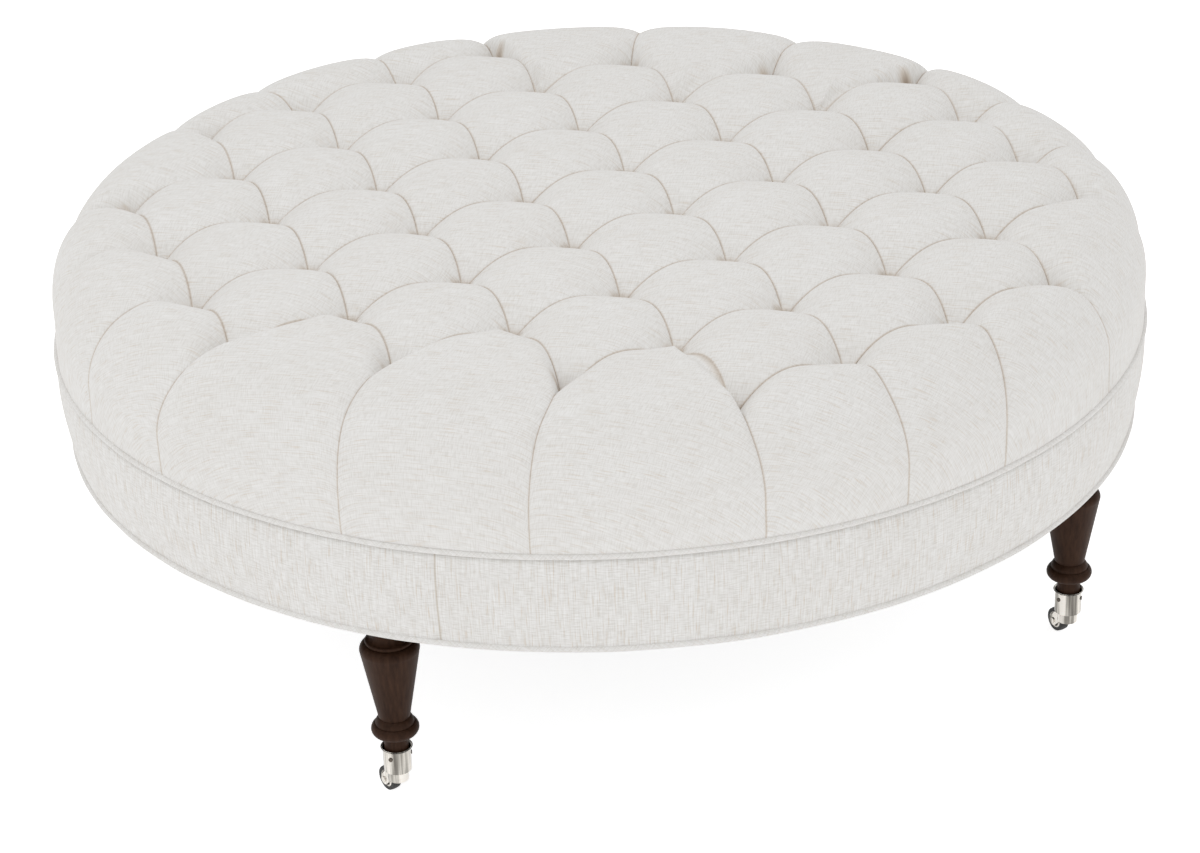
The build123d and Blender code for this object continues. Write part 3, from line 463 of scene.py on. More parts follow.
def add_side(pair, share, outline_run, rim_turns, tuft_turns):
    """Add the side's cloth beyond one pair of tufts.

    share is how far each column has come from one outer tuft to the next, along outline_run.
    rim_turns and tuft_turns are the angles of the two side pleats, at the welt and at the top.
    """
    start, start_z = side_start(*pair)
    start_radius = np.hypot(start[:, 0], start[:, 1])
    start_turn = past(rim_turns[0], np.arctan2(start[:, 1], start[:, 0]))
    tuft_span = tuft_turns[1] - tuft_turns[0]
    fanned_turn = np.clip(start_turn, tuft_turns[0] + PLEAT_FAN * share * tuft_span,
                          tuft_turns[1] - PLEAT_FAN * (1 - share) * tuft_span)
    rim_span = rim_turns[1] - rim_turns[0]
    rim_turn = rim_turns[0] + rim_span * share
    near_share = np.minimum(share, 1 - share)
    near_pleat = near_share * rim_span * SIDE_RADIUS
    crease = np.exp(-near_pleat / CREASE_WIDTH)
    valley = np.exp(-(near_pleat / VALLEY_WIDTH) ** 1.5)
    crest_z = TOP_Z - CREST_DIP * (1 - arch(share)) - CREST_CREASE * crease
    side = SIDE_RADIUS - SIDE_DIP * (1 - arch(share)) - SIDE_CREASE * crease
    crest_radius = side - SHOULDER_ROUND
    side_z = crest_z - SHOULDER_ROUND
    level_run = np.maximum(0.0, crest_radius - start_radius)
    arc_start = np.arcsin(np.clip((start_radius - crest_radius) / SHOULDER_ROUND, 0, 1))
    shoulder_run = level_run + SHOULDER_ROUND * (math.pi / 2 - arc_start)
    start_drop = side_z + SHOULDER_ROUND * np.cos(arc_start) - start_z
    # Shade painted along the side pleats and where the side starts at the top.
    pleat_shade = np.exp(-(near_share * outline_run / SIDE_SHADE_WIDTH) ** 2)
    rows, cloth_rows, painted_shade_rows = [], [], []
    for step in side_grid:
        along_run = shoulder_run * min(step, 1)
        on_level = np.minimum(along_run, level_run)
        over_shoulder = along_run > level_run
        angle = arc_start + (along_run - on_level) / SHOULDER_ROUND
        radius = np.where(over_shoulder, crest_radius + SHOULDER_ROUND * np.sin(angle),
                          start_radius + on_level)
        height = np.where(over_shoulder, side_z + SHOULDER_ROUND * np.cos(angle), crest_z)
        near_start = np.clip(along_run / SIDE_RISE_RUN, 0, 1)
        risen = (1 - (1 - near_start) ** 2) ** (0.95 + 0.2 * valley)
        height = height - start_drop * (1 - risen)
        if step > 1:
            angle = (step - 1) * math.pi / 2
            hem_radius = HEM_RADIUS + oval(rim_turn)
            radius = hem_radius + (side - hem_radius) * math.cos(angle)
            height = side_z + (HEM_Z - side_z) * math.sin(angle)
        along = np.clip(along_run / shoulder_run, 0, 1)
        fanning = 1 - np.exp(-along_run / PLEAT_FAN_RUN)
        lead_turn = start_turn + (fanned_turn - start_turn) * fanning
        turn = lead_turn + (rim_turn - lead_turn) * along * along * (3 - 2 * along)
        flat = np.stack([radius * np.cos(turn), radius * np.sin(turn)], -1)
        rows.append(np.concatenate([flat, height[:, None]], -1))
        cloth_radius = radius + np.maximum(0.0, crest_z - height) * SIDE_CLOTH * along
        cloth_rows.append(cloth_place(np.stack([cloth_radius * np.cos(turn),
                                                cloth_radius * np.sin(turn)], -1)))
        start_shade = np.exp(-(along_run / START_SHADE_WIDTH) ** 2)
        painted_shade_rows.append(np.maximum(pleat_shade, start_shade)
                         * (HEM_SHADE if step == side_grid[-1] else 1))
    place = np.array(rows)
    unsunk = place[..., 2].copy()
    reach = sink_tufts(place, gather_height=0.0)
    near_tufts = np.exp(-(np.minimum(side_grid, 1)[:, None] * shoulder_run / START_FUNNEL_RUN) ** 2)
    place[..., 2] = unsunk + (place[..., 2] - unsunk) * near_tufts
    painted_shade_rows = list(np.maximum(PLEAT_SHADE * np.array(painted_shade_rows), painted_tuft_shade(reach)))
    turn = np.arctan2(place[-1, :, 1], place[-1, :, 0])
    for radius, height in UNDERSIDE:
        under = np.stack([radius * np.cos(turn), radius * np.sin(turn),
                          np.full(len(turn), height)], -1)
        place = np.concatenate([place, under[None]])
        cloth_rows.append(cloth_place(under[:, :2]))
        painted_shade_rows.append(np.zeros(len(turn)))
    add_grid(place, np.array(cloth_rows), np.array(painted_shade_rows))


for first, second in zip(edge_tufts, edge_tufts[1:] + edge_tufts[:1]):
    (x_from, y_from), (x_to, y_to) = tuft_place(*first), tuft_place(*second)
    rim_from = math.atan2(y_from, x_from) + rim_slip(first)
    rim_to = past(rim_from, math.atan2(y_to, x_to) + rim_slip(second))
    pairs = outline_between(first, second)
    runs = [np.hypot(*(tuft_place(*far) - tuft_place(*near))) for near, far in pairs]
    done = 0.0
    for pair, run in zip(pairs, runs):
        add_side(pair, (done + graded * run) / sum(runs), sum(runs), (rim_from, rim_to),
                 (rim_from - rim_slip(first), rim_to - rim_slip(second)))
        done += run

cover_mesh = bpy.data.meshes.new("tufted_linen_cover")
cover_mesh.from_pydata([tuple(p) for p in points], [], faces)
cloth_layer = cover_mesh.uv_layers.new(name="cloth")
corner_points = np.zeros(len(cover_mesh.loops), np.int32)
cover_mesh.loops.foreach_get("vertex_index", corner_points)
cloth_layer.data.foreach_set("uv", np.array(uvs, np.float32)[corner_points].ravel())
painted_shade_layer = cover_mesh.attributes.new("painted_shade", "FLOAT", "POINT")
painted_shade_layer.data.foreach_set("value", np.array(painted_shades, np.float32))
cover = bpy.data.objects.new("tufted_linen_cover", cover_mesh)
bpy.context.scene.collection.objects.link(cover)


def weld(piece):
    """Merge a piece's doubles, and turn its faces outwards."""
    shell = bmesh.new()
    shell.from_mesh(piece.data)
    bmesh.ops.remove_doubles(shell, verts=shell.verts, dist=1e-5)
    bmesh.ops.dissolve_degenerate(shell, edges=shell.edges, dist=1e-6)
    bmesh.ops.recalc_face_normals(shell, faces=shell.faces)
    shell.to_mesh(piece.data)
    shell.free()


def smooth(piece):
    piece.data.polygons.foreach_set("use_smooth", [True] * len(piece.data.polygons))
    piece.data.update()


# The soft rim stands a little to one side, and the whole top wobbles by a millimetre or so.
SOFT_SHIFT = np.array([-0.0037, 0.0014])
SOFT_RIM_FROM = 0.53
SOFT_RIM_RUN = 0.06
WOBBLE_SEED = 7
WOBBLE_SCALE = 9.0
WOBBLE_ASIDE = 0.0016
WOBBLE_UP = 0.0012
WOBBLE_FADE = 0.03
STILL_HEM = 0.01
weld(cover)
noise.seed_set(WOBBLE_SEED)
for vertex in cover.data.vertices:
    outward = min(1.0, max(0.0, (math.hypot(*vertex.co.xy) - SOFT_RIM_FROM) / SOFT_RIM_RUN))
    vertex.co.xy = vertex.co.xy + Vector(SOFT_SHIFT) * outward * outward * (3 - 2 * outward)
    if vertex.co.z > HEM_Z + STILL_HEM:
        wobble = noise.noise_vector(vertex.co * WOBBLE_SCALE)
        fade = min(1.0, (vertex.co.z - HEM_Z - STILL_HEM) / WOBBLE_FADE)
        vertex.co.z += WOBBLE_UP * wobble.z * fade
        vertex.co.x += WOBBLE_ASIDE * wobble.x * fade
        vertex.co.y += WOBBLE_ASIDE * wobble.y * fade
smooth(cover)

# The cloth itself is woven of slubby threads, with shade painted into its colour in the folds,
# round the tufts and along a seam.
SEAM_SHADE_WIDTH = 0.002


def painted_fold_shade(material):
    """A colour that paints shade into the cloth down in the folds and round the tufts."""
    painted_shade = add_node(material, "ShaderNodeAttribute", attribute_name="painted_shade")
    return color_ramp(material, painted_shade, "Fac", [
        (0.08, (1.0, 1.0, 1.0)), (0.45, (0.82, 0.755, 0.69)), (0.95, (0.44, 0.34, 0.26))])


def painted_seam_shade(material, seam):
    """A colour that paints the fine shade of a seam into the cloth, at its place along the cloth
    map.
    """
    cloth_point = add_node(material, "ShaderNodeSeparateXYZ")
    wire(material, pattern_space(material, source="UV"), "Vector", cloth_point, "Vector")
    from_seam = add_node(material, "ShaderNodeMath", {1: seam}, operation="SUBTRACT")
    wire(material, cloth_point, "X", from_seam, 0)
    apart = add_node(material, "ShaderNodeMath", operation="ABSOLUTE")
    wire(material, from_seam, "Value", apart, 0)
    widths = add_node(material, "ShaderNodeMath", {1: 1 / SEAM_SHADE_WIDTH}, operation="MULTIPLY")
    wire(material, apart, "Value", widths, 0)
    return color_ramp(material, widths, "Value", [(0.25, (0.80, 0.75, 0.69)),
                                                  (0.7, (1.0, 1.0, 1.0))])


def linen(name, slub_turn=0.0, has_painted_shade=False, seam=None, slubs=1.0, weave=1.0):
    """Off-white linen weave: slubby threads both ways, in metres on the piece's cloth map."""
    material, shader = start_material(name, (0.76, 0.735, 0.70), roughness=0.92)
    on_cloth = {"source": "UV", "turn": (0.0, 0.0, slub_turn)}
    along = stretched_noise(material, (36.0, 640.0, 1.0), roughness=0.6, **on_cloth)
    across = stretched_noise(material, (760.0, 90.0, 1.0), detail=2.0, **on_cloth)
    dye = stretched_noise(material, (9.0, 14.0, 1.0), detail=2.0, **on_cloth)
    pale = np.array((0.815, 0.806, 0.79))
    beige, grey, bright = (np.array(color) - pale for color in (
        (0.70, 0.62, 0.53), (0.765, 0.753, 0.73), (0.87, 0.866, 0.855)))
    long_threads = color_ramp(material, along, "Fac", [
        (0.32, tuple(pale + beige * slubs)), (0.42, tuple(pale + grey * weave)),
        (0.52, tuple(pale)), (0.66, tuple(pale + bright * weave))])
    thin = np.array((0.10, 0.11, 0.125)) * weave
    short_threads = color_ramp(material, across, "Fac", [
        (0.34, tuple(1.0 - thin)), (0.50, (1.0, 1.0, 1.0)), (0.66, tuple(1.0 + thin * 0.5))])
    tint = color_ramp(material, dye, "Fac", [(0.3, (0.98, 0.974, 0.966)),
                                             (0.7, (1.0, 0.998, 0.995))])
    shades = [short_threads, tint]
    # Shade painted into the colour in the folds and along a seam, where the piece has them.
    if has_painted_shade:
        shades.append(painted_fold_shade(material))
    if seam is not None:
        shades.append(painted_seam_shade(material, seam))
    color = (long_threads, "Color")
    for shade in shades:
        color = mix_colors(material, color, (shade, "Color"))
    wire(material, *color, shader, "Base Color")
    shader.inputs["Sheen Weight"].default_value = 0.12
    shader.inputs["Sheen Roughness"].default_value = 0.5
    shader.inputs["Specular IOR Level"].default_value = 0.2
    lower = add_bump(material, shader, across, "Fac", strength=0.4 * weave, distance=0.0007)
    add_bump(material, shader, along, "Fac", strength=0.4 * weave, distance=0.0007, under=lower)
    return material


# The cover's colour takes the painted shade of its folds and tufts.
top_linen = linen("linen_top", has_painted_shade=True, slubs=0.6, weave=0.65)
cover.data.materials.append(top_linen)
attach(cover, "root")
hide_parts("tufted_cover")

# Tuft buttons: small domes covered in the same cloth, each pulled deep into its dimple by
# the twine. One is shaped from a ball and copied to every tuft.
BUTTON_RADIUS = 0.006
BUTTON_HEIGHT = 0.004
BUTTON_LIFT = 0.0004


def copy_to(piece, name, matrix):
    """A copy of a piece with its own mesh, moved by a matrix."""
    twin = piece.copy()
    twin.data = piece.data.copy()
    twin.name = name
    twin.data.name = name
    twin.data.transform(matrix)
    bpy.context.scene.collection.objects.link(twin)
    return twin


bpy.ops.object.select_all(action="DESELECT")
bpy.ops.mesh.primitive_uv_sphere_add(segments=20, ring_count=12, radius=BUTTON_RADIUS)
button = bpy.context.object
bpy.ops.object.mode_set(mode="EDIT")
bpy.ops.mesh.select_all(action="SELECT")
bpy.ops.transform.resize(value=(1.0, 1.0, BUTTON_HEIGHT / BUTTON_RADIUS))
bpy.ops.mesh.bisect(plane_co=(0.0, 0.0, 0.0), plane_no=(0.0, 0.0, 1.0), clear_inner=True,
                    use_fill=True)
bpy.ops.object.mode_set(mode="OBJECT")
smooth(button)
buttons = []
for tuft, floor_z in zip(tufts, tuft_floors):
    x, y = tuft_place(*tuft)
    buttons.append(copy_to(button, "button", Matrix.Translation((x, y, floor_z + BUTTON_LIFT))))
bpy.data.objects.remove(button)
bpy.ops.object.select_all(action="DESELECT")
for each in buttons:
    each.select_set(True)
bpy.context.view_layer.objects.active = buttons[0]
bpy.ops.object.join()
buttons = bpy.context.object
buttons.name = "covered_tuft_buttons"
for uv_layer in list(buttons.data.uv_layers):
    for corner, loop_point in zip(uv_layer.data, buttons.data.loops):
        corner.uv = buttons.data.vertices[loop_point.vertex_index].co.xy
button_linen = linen("linen_buttons", slubs=0.5, weave=0.5)
buttons.data.materials.clear()
buttons.data.materials.append(button_linen)
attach(buttons, "root")
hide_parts("tuft_buttons")

# Top and bottom welts: piping cord in a bias strip of the cloth, sewn between the panels.
# The cloth crosses the cord at a slant, and the cord is never quite round or level.
WELT_MINOR = 0.00325
WELT_WAVE = 0.0006
WELT_SWING = 0.0005


def settle(piece):
    """Put a piece's place into its mesh, so that the object stands at the origin."""
    bpy.context.view_layer.update()
    piece.data.transform(piece.matrix_world)
    piece.matrix_world = Matrix.Identity(4)


def lay_cloth(piece, place, around=math.inf):
    """Write the piece's cloth map from a function of a vertex's place, in metres.

    around is the length at which a closed strip meets itself.
    """
    layer = piece.data.uv_layers.active or piece.data.uv_layers.new(name="cloth")
    for polygon in piece.data.polygons:
        spots = [place(piece.data.vertices[piece.data.loops[k].vertex_index].co)
                 for k in polygon.loop_indices]
        most = max(spot[0] for spot in spots)
        for k, spot in zip(polygon.loop_indices, spots):
            wrapped = spot[0] + (around if most - spot[0] > around / 2 else 0.0)
            layer.data[k].uv = (wrapped, spot[1])


def welt_place(radius, level):
    """Cloth place on a welt: along the cord, and round it."""
    def place(co):
        turn = math.atan2(co.y, co.x)
        swing = math.atan2(co.z - level, math.hypot(co.x, co.y) - radius)
        return (turn + math.pi) * radius, swing * WELT_MINOR
    return place


welt_linen = linen("linen_welt", slub_turn=math.radians(38), slubs=0.3, weave=0.7)
for name, radius, level, node in (("top_welt_cord", 0.6120, 0.3318, "top_welt"),
                                  ("bottom_welt_cord", 0.6095, 0.2257, "bottom_welt")):
    bpy.ops.object.select_all(action="DESELECT")
    bpy.ops.mesh.primitive_torus_add(major_segments=480, minor_segments=14, major_radius=radius,
                                     minor_radius=WELT_MINOR, location=(0.0, 0.0, level))
    cord = bpy.context.object
    cord.name = name
    settle(cord)
    lay_cloth(cord, welt_place(radius, level), 2 * math.pi * radius)
    for vertex in cord.data.vertices:
        wave = noise.noise(vertex.co * 14.0 + Vector((level * 50, 0.0, 0.0)))
        vertex.co.z += WELT_WAVE * wave
        swing = WELT_SWING * noise.noise(vertex.co * 25.0)
        swing += oval(math.atan2(vertex.co.y, vertex.co.x)) if node == "top_welt" else 0.0
        vertex.co.xy = vertex.co.xy * (1 + swing / radius)
    cord.data.transform(Matrix.Translation((*SOFT_SHIFT, 0.0)))
    smooth(cord)
    cord.data.materials.clear()
    cord.data.materials.append(welt_linen)
    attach(cord, "root")
    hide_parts(node)

# Band cover: a plain strip of the cloth round the apron, its slubs upright, joined by one
# sewn seam. It is drawn tight between the two welts and turned in under the frame.
BAND_RADIUS = 0.6100
BAND_LOW = 0.2285
BAND_HIGH = 0.3292
BAND_COLUMNS = 720
BAND_RISES = 16
BAND_FLARE = 0.0026
BAND_SWELL = 0.0036
BAND_RIPPLE = 0.0007
BAND_SEAM = math.radians(-126.8)
SEAM_DENT = 0.0016
SEAM_DENT_WIDTH = 0.0035
WELT_TUCK = 0.0006
WELT_TUCK_SHARE = 0.02
LIP_RADIUS = 0.592
LIP_Z = 0.2253
LINEN_THICKNESS = 0.0012


def only(piece):
    """Select one piece and nothing else."""
    bpy.ops.object.select_all(action="DESELECT")
    piece.select_set(True)
    bpy.context.view_layer.objects.active = piece


def turn_faces(inside):
    """Turn all the faces of the active piece inwards or outwards."""
    bpy.ops.object.mode_set(mode="EDIT")
    bpy.ops.mesh.select_all(action="SELECT")
    bpy.ops.mesh.normals_make_consistent(inside=inside)
    bpy.ops.object.mode_set(mode="OBJECT")


def band_place(co):
    """Cloth place on the band: along it, and up it from the lip that is turned in."""
    return ((math.atan2(co.y, co.x) + math.pi) * BAND_RADIUS,
            co.z - max(0.0, BAND_RADIUS - math.hypot(co.x, co.y)))


bpy.ops.object.select_all(action="DESELECT")
bpy.ops.mesh.primitive_circle_add(vertices=BAND_COLUMNS, radius=LIP_RADIUS,
                                  location=(0.0, 0.0, LIP_Z))
band = bpy.context.object
band.name = "band_linen"
bpy.ops.object.mode_set(mode="EDIT")
bpy.ops.mesh.select_all(action="SELECT")
bpy.ops.mesh.extrude_region_move()
widen = BAND_RADIUS / LIP_RADIUS
bpy.ops.transform.resize(value=(widen, widen, 1.0), center_override=(0.0, 0.0, LIP_Z))
bpy.ops.mesh.extrude_region_move(TRANSFORM_OT_translate={"value": (0.0, 0.0, BAND_LOW - LIP_Z)})
for rise in range(BAND_RISES):
    bpy.ops.mesh.extrude_region_move(
        TRANSFORM_OT_translate={"value": (0.0, 0.0, (BAND_HIGH - BAND_LOW) / BAND_RISES)})
bpy.ops.object.mode_set(mode="OBJECT")
settle(band)
lay_cloth(band, band_place, 2 * math.pi * BAND_RADIUS)
for vertex in band.data.vertices:
    turn = math.atan2(vertex.co.y, vertex.co.x)
    height = min(1.0, max(0.0, (vertex.co.z - BAND_LOW) / (BAND_HIGH - BAND_LOW)))
    swell = BAND_FLARE * height + BAND_SWELL * math.sin(math.pi * height ** 1.3)
    swell += oval(turn) * height ** 0.6
    swell += BAND_RIPPLE * noise.noise(Vector((vertex.co.x * 7, vertex.co.y * 7, vertex.co.z * 3)))
    apart = abs(math.remainder(turn - BAND_SEAM, 2 * math.pi)) * BAND_RADIUS
    swell -= SEAM_DENT * math.exp(-(apart / SEAM_DENT_WIDTH) ** 2)
    tuck = WELT_TUCK * (math.exp(-height / WELT_TUCK_SHARE)
                        + math.exp(-(1 - height) / WELT_TUCK_SHARE))
    outward = (math.hypot(*vertex.co.xy) - LIP_RADIUS) / (BAND_RADIUS - LIP_RADIUS)
    outward = min(1.0, max(0.0, outward))
    spread = 1 + outward * (swell - tuck) / BAND_RADIUS
    vertex.co.xy = vertex.co.xy * spread + Vector(SOFT_SHIFT) * outward
only(band)
backing = band.modifiers.new("cloth_thickness", "SOLIDIFY")
backing.thickness = LINEN_THICKNESS
backing.offset = 1.0
turn_faces(inside=True)
bpy.ops.object.modifier_apply(modifier=backing.name)
turn_faces(inside=False)
smooth(band)
# The band's colour takes a fine line of painted shade along its seam.
band_linen = linen("linen_band", slub_turn=math.radians(90),
                   seam=(BAND_SEAM + math.pi) * BAND_RADIUS, slubs=0.75, weave=0.9)
band.data.materials.append(band_linen)
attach(band, "root")
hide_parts("band_cover")

# Dust cover: thin black non-woven cloth stretched under the frame and stapled to it, cut out
# round the four legs. It sags a little between the staples.
DUST_RADIUS = 0.594
DUST_Z = 0.2246
DUST_RINGS = (0.985, 0.96, 0.9, 0.8, 0.65, 0.45, 0.2)
DUST_SAG = 0.0006
DUST_SAG_CHANGE = 0.0004
STAPLED_EDGE = 0.02
SAG_RUN = 0.1
DUST_THICKNESS = 0.0004
LEG_CIRCLE = 0.561
LEG_HOLE = 0.0285
bpy.ops.object.select_all(action="DESELECT")
bpy.ops.mesh.primitive_circle_add(vertices=192, radius=DUST_RADIUS, fill_type="NOTHING",
                                  location=(0.0, 0.0, DUST_Z))
dust = bpy.context.object
dust.name = "dust_cloth"
bpy.ops.object.mode_set(mode="EDIT")
bpy.ops.mesh.select_all(action="SELECT")
for share in DUST_RINGS:
    bpy.ops.mesh.extrude_region_move()
    radius = max(math.hypot(*v.co.xy) for v in bmesh.from_edit_mesh(dust.data).verts if v.select)
    shrink = share * DUST_RADIUS / radius
    bpy.ops.transform.resize(value=(shrink, shrink, 1.0), center_override=(0.0, 0.0, DUST_Z))
bpy.ops.mesh.edge_face_add()
bpy.ops.object.mode_set(mode="OBJECT")
settle(dust)
for degrees in CORNERS.values():
    turn = math.radians(degrees)
    bpy.ops.object.select_all(action="DESELECT")
    bpy.ops.mesh.primitive_cylinder_add(
        vertices=48, radius=LEG_HOLE, depth=0.02,
        location=(LEG_CIRCLE * math.cos(turn), LEG_CIRCLE * math.sin(turn), DUST_Z))
    cutter = bpy.context.object
    only(dust)
    hole = dust.modifiers.new("leg_hole", "BOOLEAN")
    hole.operation = "DIFFERENCE"
    hole.object = cutter
    hole.solver = "EXACT"
    bpy.ops.object.modifier_apply(modifier=hole.name)
    bpy.data.objects.remove(cutter)
for vertex in dust.data.vertices:
    from_staples = DUST_RADIUS - STAPLED_EDGE - math.hypot(*vertex.co.xy)
    sag = DUST_SAG + DUST_SAG_CHANGE * noise.noise(vertex.co * 12.0)
    vertex.co.z -= sag * min(1.0, max(0.0, from_staples) / SAG_RUN)
lay_cloth(dust, lambda co: (co.x, co.y))
only(dust)
backing = dust.modifiers.new("cloth_thickness", "SOLIDIFY")
backing.thickness = DUST_THICKNESS
bpy.ops.object.modifier_apply(modifier=backing.name)
smooth(dust)
felt, felt_shader = start_material("black_dust_cloth", (0.02, 0.02, 0.021), roughness=0.9)
felt_fibres = stretched_noise(felt, (420.0, 420.0, 420.0), detail=6.0, roughness=0.7)
color_by(felt, felt_shader, felt_fibres, "Fac", [(0.35, (0.010, 0.010, 0.011)),
                                                 (0.7, (0.032, 0.032, 0.034))])
add_bump(felt, felt_shader, felt_fibres, "Fac", strength=0.4, distance=0.0004)
dust.data.materials.clear()
dust.data.materials.append(felt)
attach(dust, "root")
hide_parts("dust_cover")

# Turned legs: beech stained to dark walnut under satin lacquer, turned with a bead above the
# caster, a long taper, and a rounded shoulder under a small neck.
stained, stained_shader = start_material("dark_walnut_stain", (0.050, 0.026, 0.016), roughness=0.5)
wood_pores = stretched_noise(stained, (210.0, 210.0, 12.0), detail=6.0, roughness=0.62)
color_by(stained, stained_shader, wood_pores, "Fac", [(0.3, (0.025, 0.0110, 0.006)),
                                                      (0.7, (0.054, 0.026, 0.015))])
stained_shader.inputs["Specular IOR Level"].default_value = 0.08
stained_shader.inputs["Coat Weight"].default_value = 0.02
stained_shader.inputs["Coat Roughness"].default_value = 0.35
add_bump(stained, stained_shader, wood_pores, "Fac", strength=0.12, distance=0.0003)
dress(at_corners("leg_"), stained)

# Caster cups, horns, axles and hubs: drawn and turned brass with brushed nickel plate. The
# brushing runs round the cups, upright dark and light streaks of painted reflection cross them,
# and the screw heads are coloured dark.
nickel, nickel_shader = start_material("brushed_nickel", (0.50, 0.475, 0.43), roughness=0.22,
                                       metallic=1.0)
brushing = stretched_noise(nickel, (60.0, 60.0, 2600.0))
brushing_color = color_ramp(nickel, brushing, "Fac", [(0.3, (0.90, 0.89, 0.88)),
                                                      (0.7, (1.0, 1.0, 1.0))])
# Upright dark and light streaks painted into the plate's colour as reflections.
painted_reflection_streaks = stretched_noise(nickel, (105.0, 105.0, 5.0), roughness=0.6)
painted_reflection_color = color_ramp(nickel, painted_reflection_streaks, "Fac", [
    (0.36, (0.15, 0.14, 0.125)), (0.46, (0.33, 0.315, 0.285)), (0.53, (0.60, 0.575, 0.53)),
    (0.62, (0.78, 0.75, 0.70))])
wire(nickel, *mix_colors(nickel, (painted_reflection_color, "Color"), (brushing_color, "Color")),
     nickel_shader, "Base Color")
add_bump(nickel, nickel_shader, brushing, "Fac", strength=0.15, distance=0.0001)
for stem in ("caster_cup_", "caster_horn_", "caster_axle_", "caster_hub_"):
    dress(at_corners(stem), nickel)
# The screw heads get a much darker nickel colour.
dark_nickel, dark_nickel_shader = start_material("dark_screw_nickel", (0.10, 0.085, 0.07), roughness=0.45,
                                       metallic=1.0)
dark_nickel_noise = stretched_noise(dark_nickel, (600.0, 600.0, 600.0))
color_by(dark_nickel, dark_nickel_shader, dark_nickel_noise, "Fac", [(0.35, (0.06, 0.05, 0.04)),
                                                 (0.7, (0.19, 0.165, 0.14))])
add_bump(dark_nickel, dark_nickel_shader, dark_nickel_noise, "Fac", strength=0.2, distance=0.0001)
dress(["cup_screws"], dark_nickel)

# Caster tyres: hard black rubber rings, one pressed on each hub. They are matt, with dust in
# the tread.
rubber, rubber_shader = start_material("black_rubber", (0.012, 0.012, 0.012), roughness=0.6)
dust_specks = stretched_noise(rubber, (900.0, 900.0, 900.0), detail=4.0)
color_by(rubber, rubber_shader, dust_specks, "Fac", [(0.4, (0.008, 0.008, 0.008)),
                                                     (0.75, (0.022, 0.021, 0.020))])
add_bump(rubber, rubber_shader, dust_specks, "Fac", strength=0.3, distance=0.0002)
dress(at_corners("caster_tyre_"), rubber)

# Floor and light: a pale studio floor that keeps a soft shadow, with an even sky and one
# large soft lamp. None of it belongs to the piece.
FLOOR_GLOW_SEEN = 0.74
FLOOR_GLOW_UNSEEN = 0.32
SKY_SEEN = 1.0
SKY_LIGHT = 0.79
LAMP_LIGHT = 12.0
LAMP_SIZE = 2.6
LAMP_AIM = Vector((0.0, 0.0, 0.35))


def seen_directly(stage_part):
    """1 for camera, glossy and transmission rays that meet the floor or the sky, else 0."""
    rays = add_node(stage_part, "ShaderNodeLightPath")
    mirrored = add_node(stage_part, "ShaderNodeMath", operation="MAXIMUM")
    seen = add_node(stage_part, "ShaderNodeMath", operation="MAXIMUM")
    wire(stage_part, rays, "Is Camera Ray", mirrored, 0)
    wire(stage_part, rays, "Is Glossy Ray", mirrored, 1)
    wire(stage_part, mirrored, "Value", seen, 0)
    wire(stage_part, rays, "Is Transmission Ray", seen, 1)
    return seen


bpy.ops.object.select_all(action="DESELECT")
bpy.ops.mesh.primitive_plane_add(size=40.0)
floor = bpy.context.object
floor.name = "studio_floor"
paper, paper_shader = start_material("pale_floor", (0.86, 0.86, 0.86), roughness=0.9)
glow_share = add_node(paper, "ShaderNodeMath", {1: FLOOR_GLOW_SEEN}, operation="MULTIPLY")
wire(paper, seen_directly(paper), "Value", glow_share, 0)
faint_glow = add_node(paper, "ShaderNodeEmission",
                      {"Color": (1.0, 0.99, 0.98, 1.0), "Strength": FLOOR_GLOW_UNSEEN})
full_glow = add_node(paper, "ShaderNodeEmission",
                     {"Color": (1.0, 1.0, 1.0, 1.0), "Strength": 1.0})
floor_glow = add_node(paper, "ShaderNodeMixShader")
wire(paper, glow_share, "Value", floor_glow, 0)
wire(paper, faint_glow, 0, floor_glow, 1)
wire(paper, full_glow, 0, floor_glow, 2)
glowing_paper = add_node(paper, "ShaderNodeAddShader")
wire(paper, paper_shader, 0, glowing_paper, 0)
wire(paper, floor_glow, 0, glowing_paper, 1)
wire(paper, glowing_paper, 0, paper.node_tree.nodes["Material Output"], "Surface")
floor.data.materials.append(paper)
floor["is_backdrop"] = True

world = bpy.data.worlds.new("studio")
bpy.context.scene.world = world
world.use_nodes = True
lighting_sky = world.node_tree.nodes["Background"]
lighting_sky.inputs["Color"].default_value = (1.0, 1.0, 1.0, 1.0)
lighting_sky.inputs["Strength"].default_value = SKY_LIGHT
seen_sky = add_node(world, "ShaderNodeBackground", {"Strength": SKY_SEEN})
sky = add_node(world, "ShaderNodeMixShader")
wire(world, seen_directly(world), "Value", sky, 0)
wire(world, lighting_sky, 0, sky, 1)
wire(world, seen_sky, 0, sky, 2)
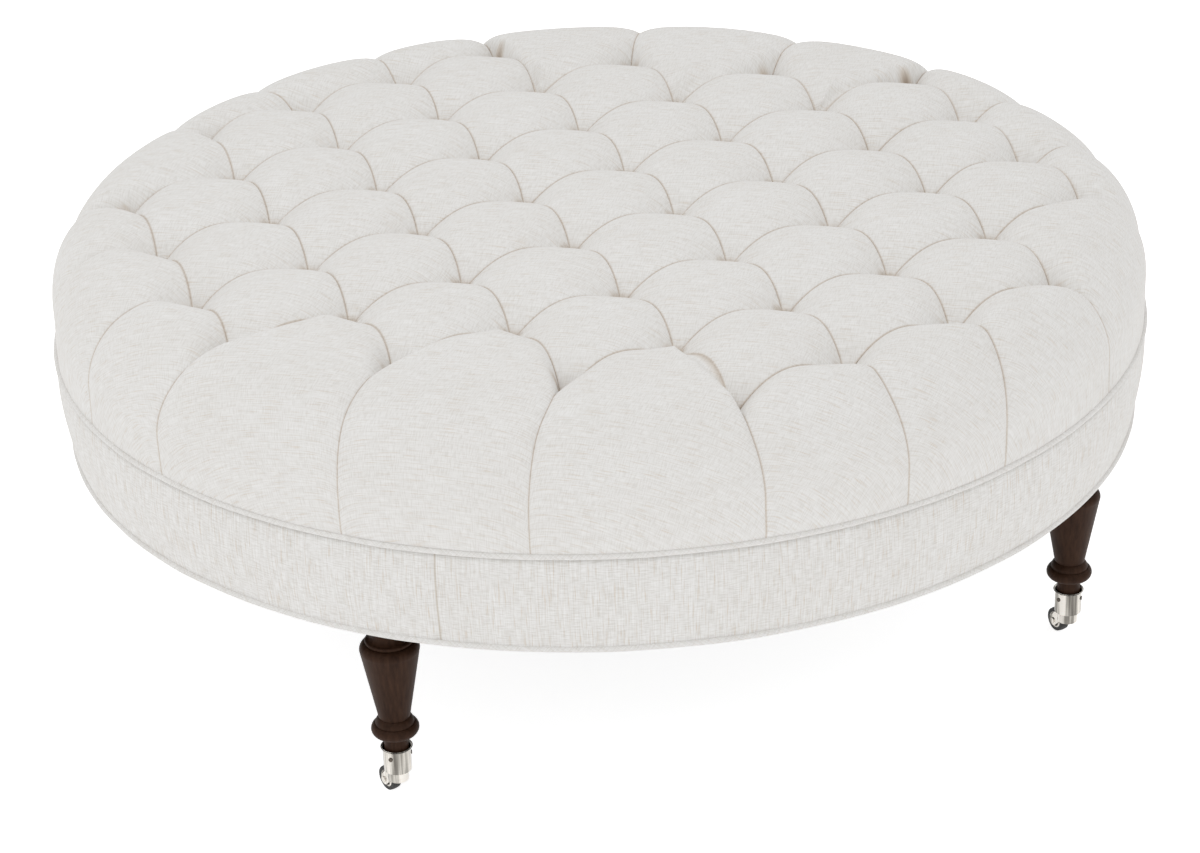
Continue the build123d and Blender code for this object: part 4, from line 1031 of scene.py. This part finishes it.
wire(world, sky, 0, world.node_tree.nodes["World Output"], "Surface")

lamp = bpy.data.objects.new("key_lamp", bpy.data.lights.new("key_lamp", "AREA"))
lamp.data.shape = "DISK"
lamp.data.size = LAMP_SIZE
lamp.data.energy = LAMP_LIGHT
lamp.location = (-0.8, -0.5, 3.0)
lamp.rotation_mode = "QUATERNION"
lamp.rotation_quaternion = (lamp.location - LAMP_AIM).to_track_quat("Z", "Y")
bpy.context.scene.collection.objects.link(lamp)

# Camera: a long lens from the front left, about 1.8 m above the floor and tilted down. It is
# rolled and panned a little, as it was fitted to the round band and the legs.
PIXELS_WIDE = 1200
FOCAL_PIXELS = 3180.38
SENSOR_WIDTH = 36.0
TILT = math.radians(26.468)
ROLL = math.radians(-2.126)
PAN = math.radians(0.144)
PHOTO_TURN = math.radians(-20.6)
DISTANCE = 3.7301
AIM_Z = 0.1692
forward = Vector((0.0, math.cos(TILT), -math.sin(TILT)))
right = Vector((1.0, 0.0, 0.0))
up = Vector((0.0, math.sin(TILT), math.cos(TILT)))
pan = Matrix.Rotation(PAN, 3, "Z")
right, up, forward = pan @ right, pan @ up, pan @ forward
rolled_right = math.cos(ROLL) * right + math.sin(ROLL) * up
rolled_up = -math.sin(ROLL) * right + math.cos(ROLL) * up
spot = Vector((0.0, -DISTANCE * math.cos(TILT), AIM_Z + DISTANCE * math.sin(TILT)))
to_object = Matrix.Rotation(PHOTO_TURN, 3, "Z")
axes = Matrix((to_object @ rolled_right, to_object @ rolled_up, to_object @ -forward)).transposed()
camera = bpy.data.objects.new("photo_camera", bpy.data.cameras.new("photo_camera"))
camera.data.sensor_width = SENSOR_WIDTH
camera.data.lens = FOCAL_PIXELS / PIXELS_WIDE * SENSOR_WIDTH
camera.data.clip_end = 100.0
camera.matrix_world = Matrix.Translation(to_object @ spot) @ axes.to_4x4()
bpy.context.scene.collection.objects.link(camera)
bpy.context.scene.camera = camera
bpy.context.scene.view_settings.view_transform = "Standard"

low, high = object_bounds()
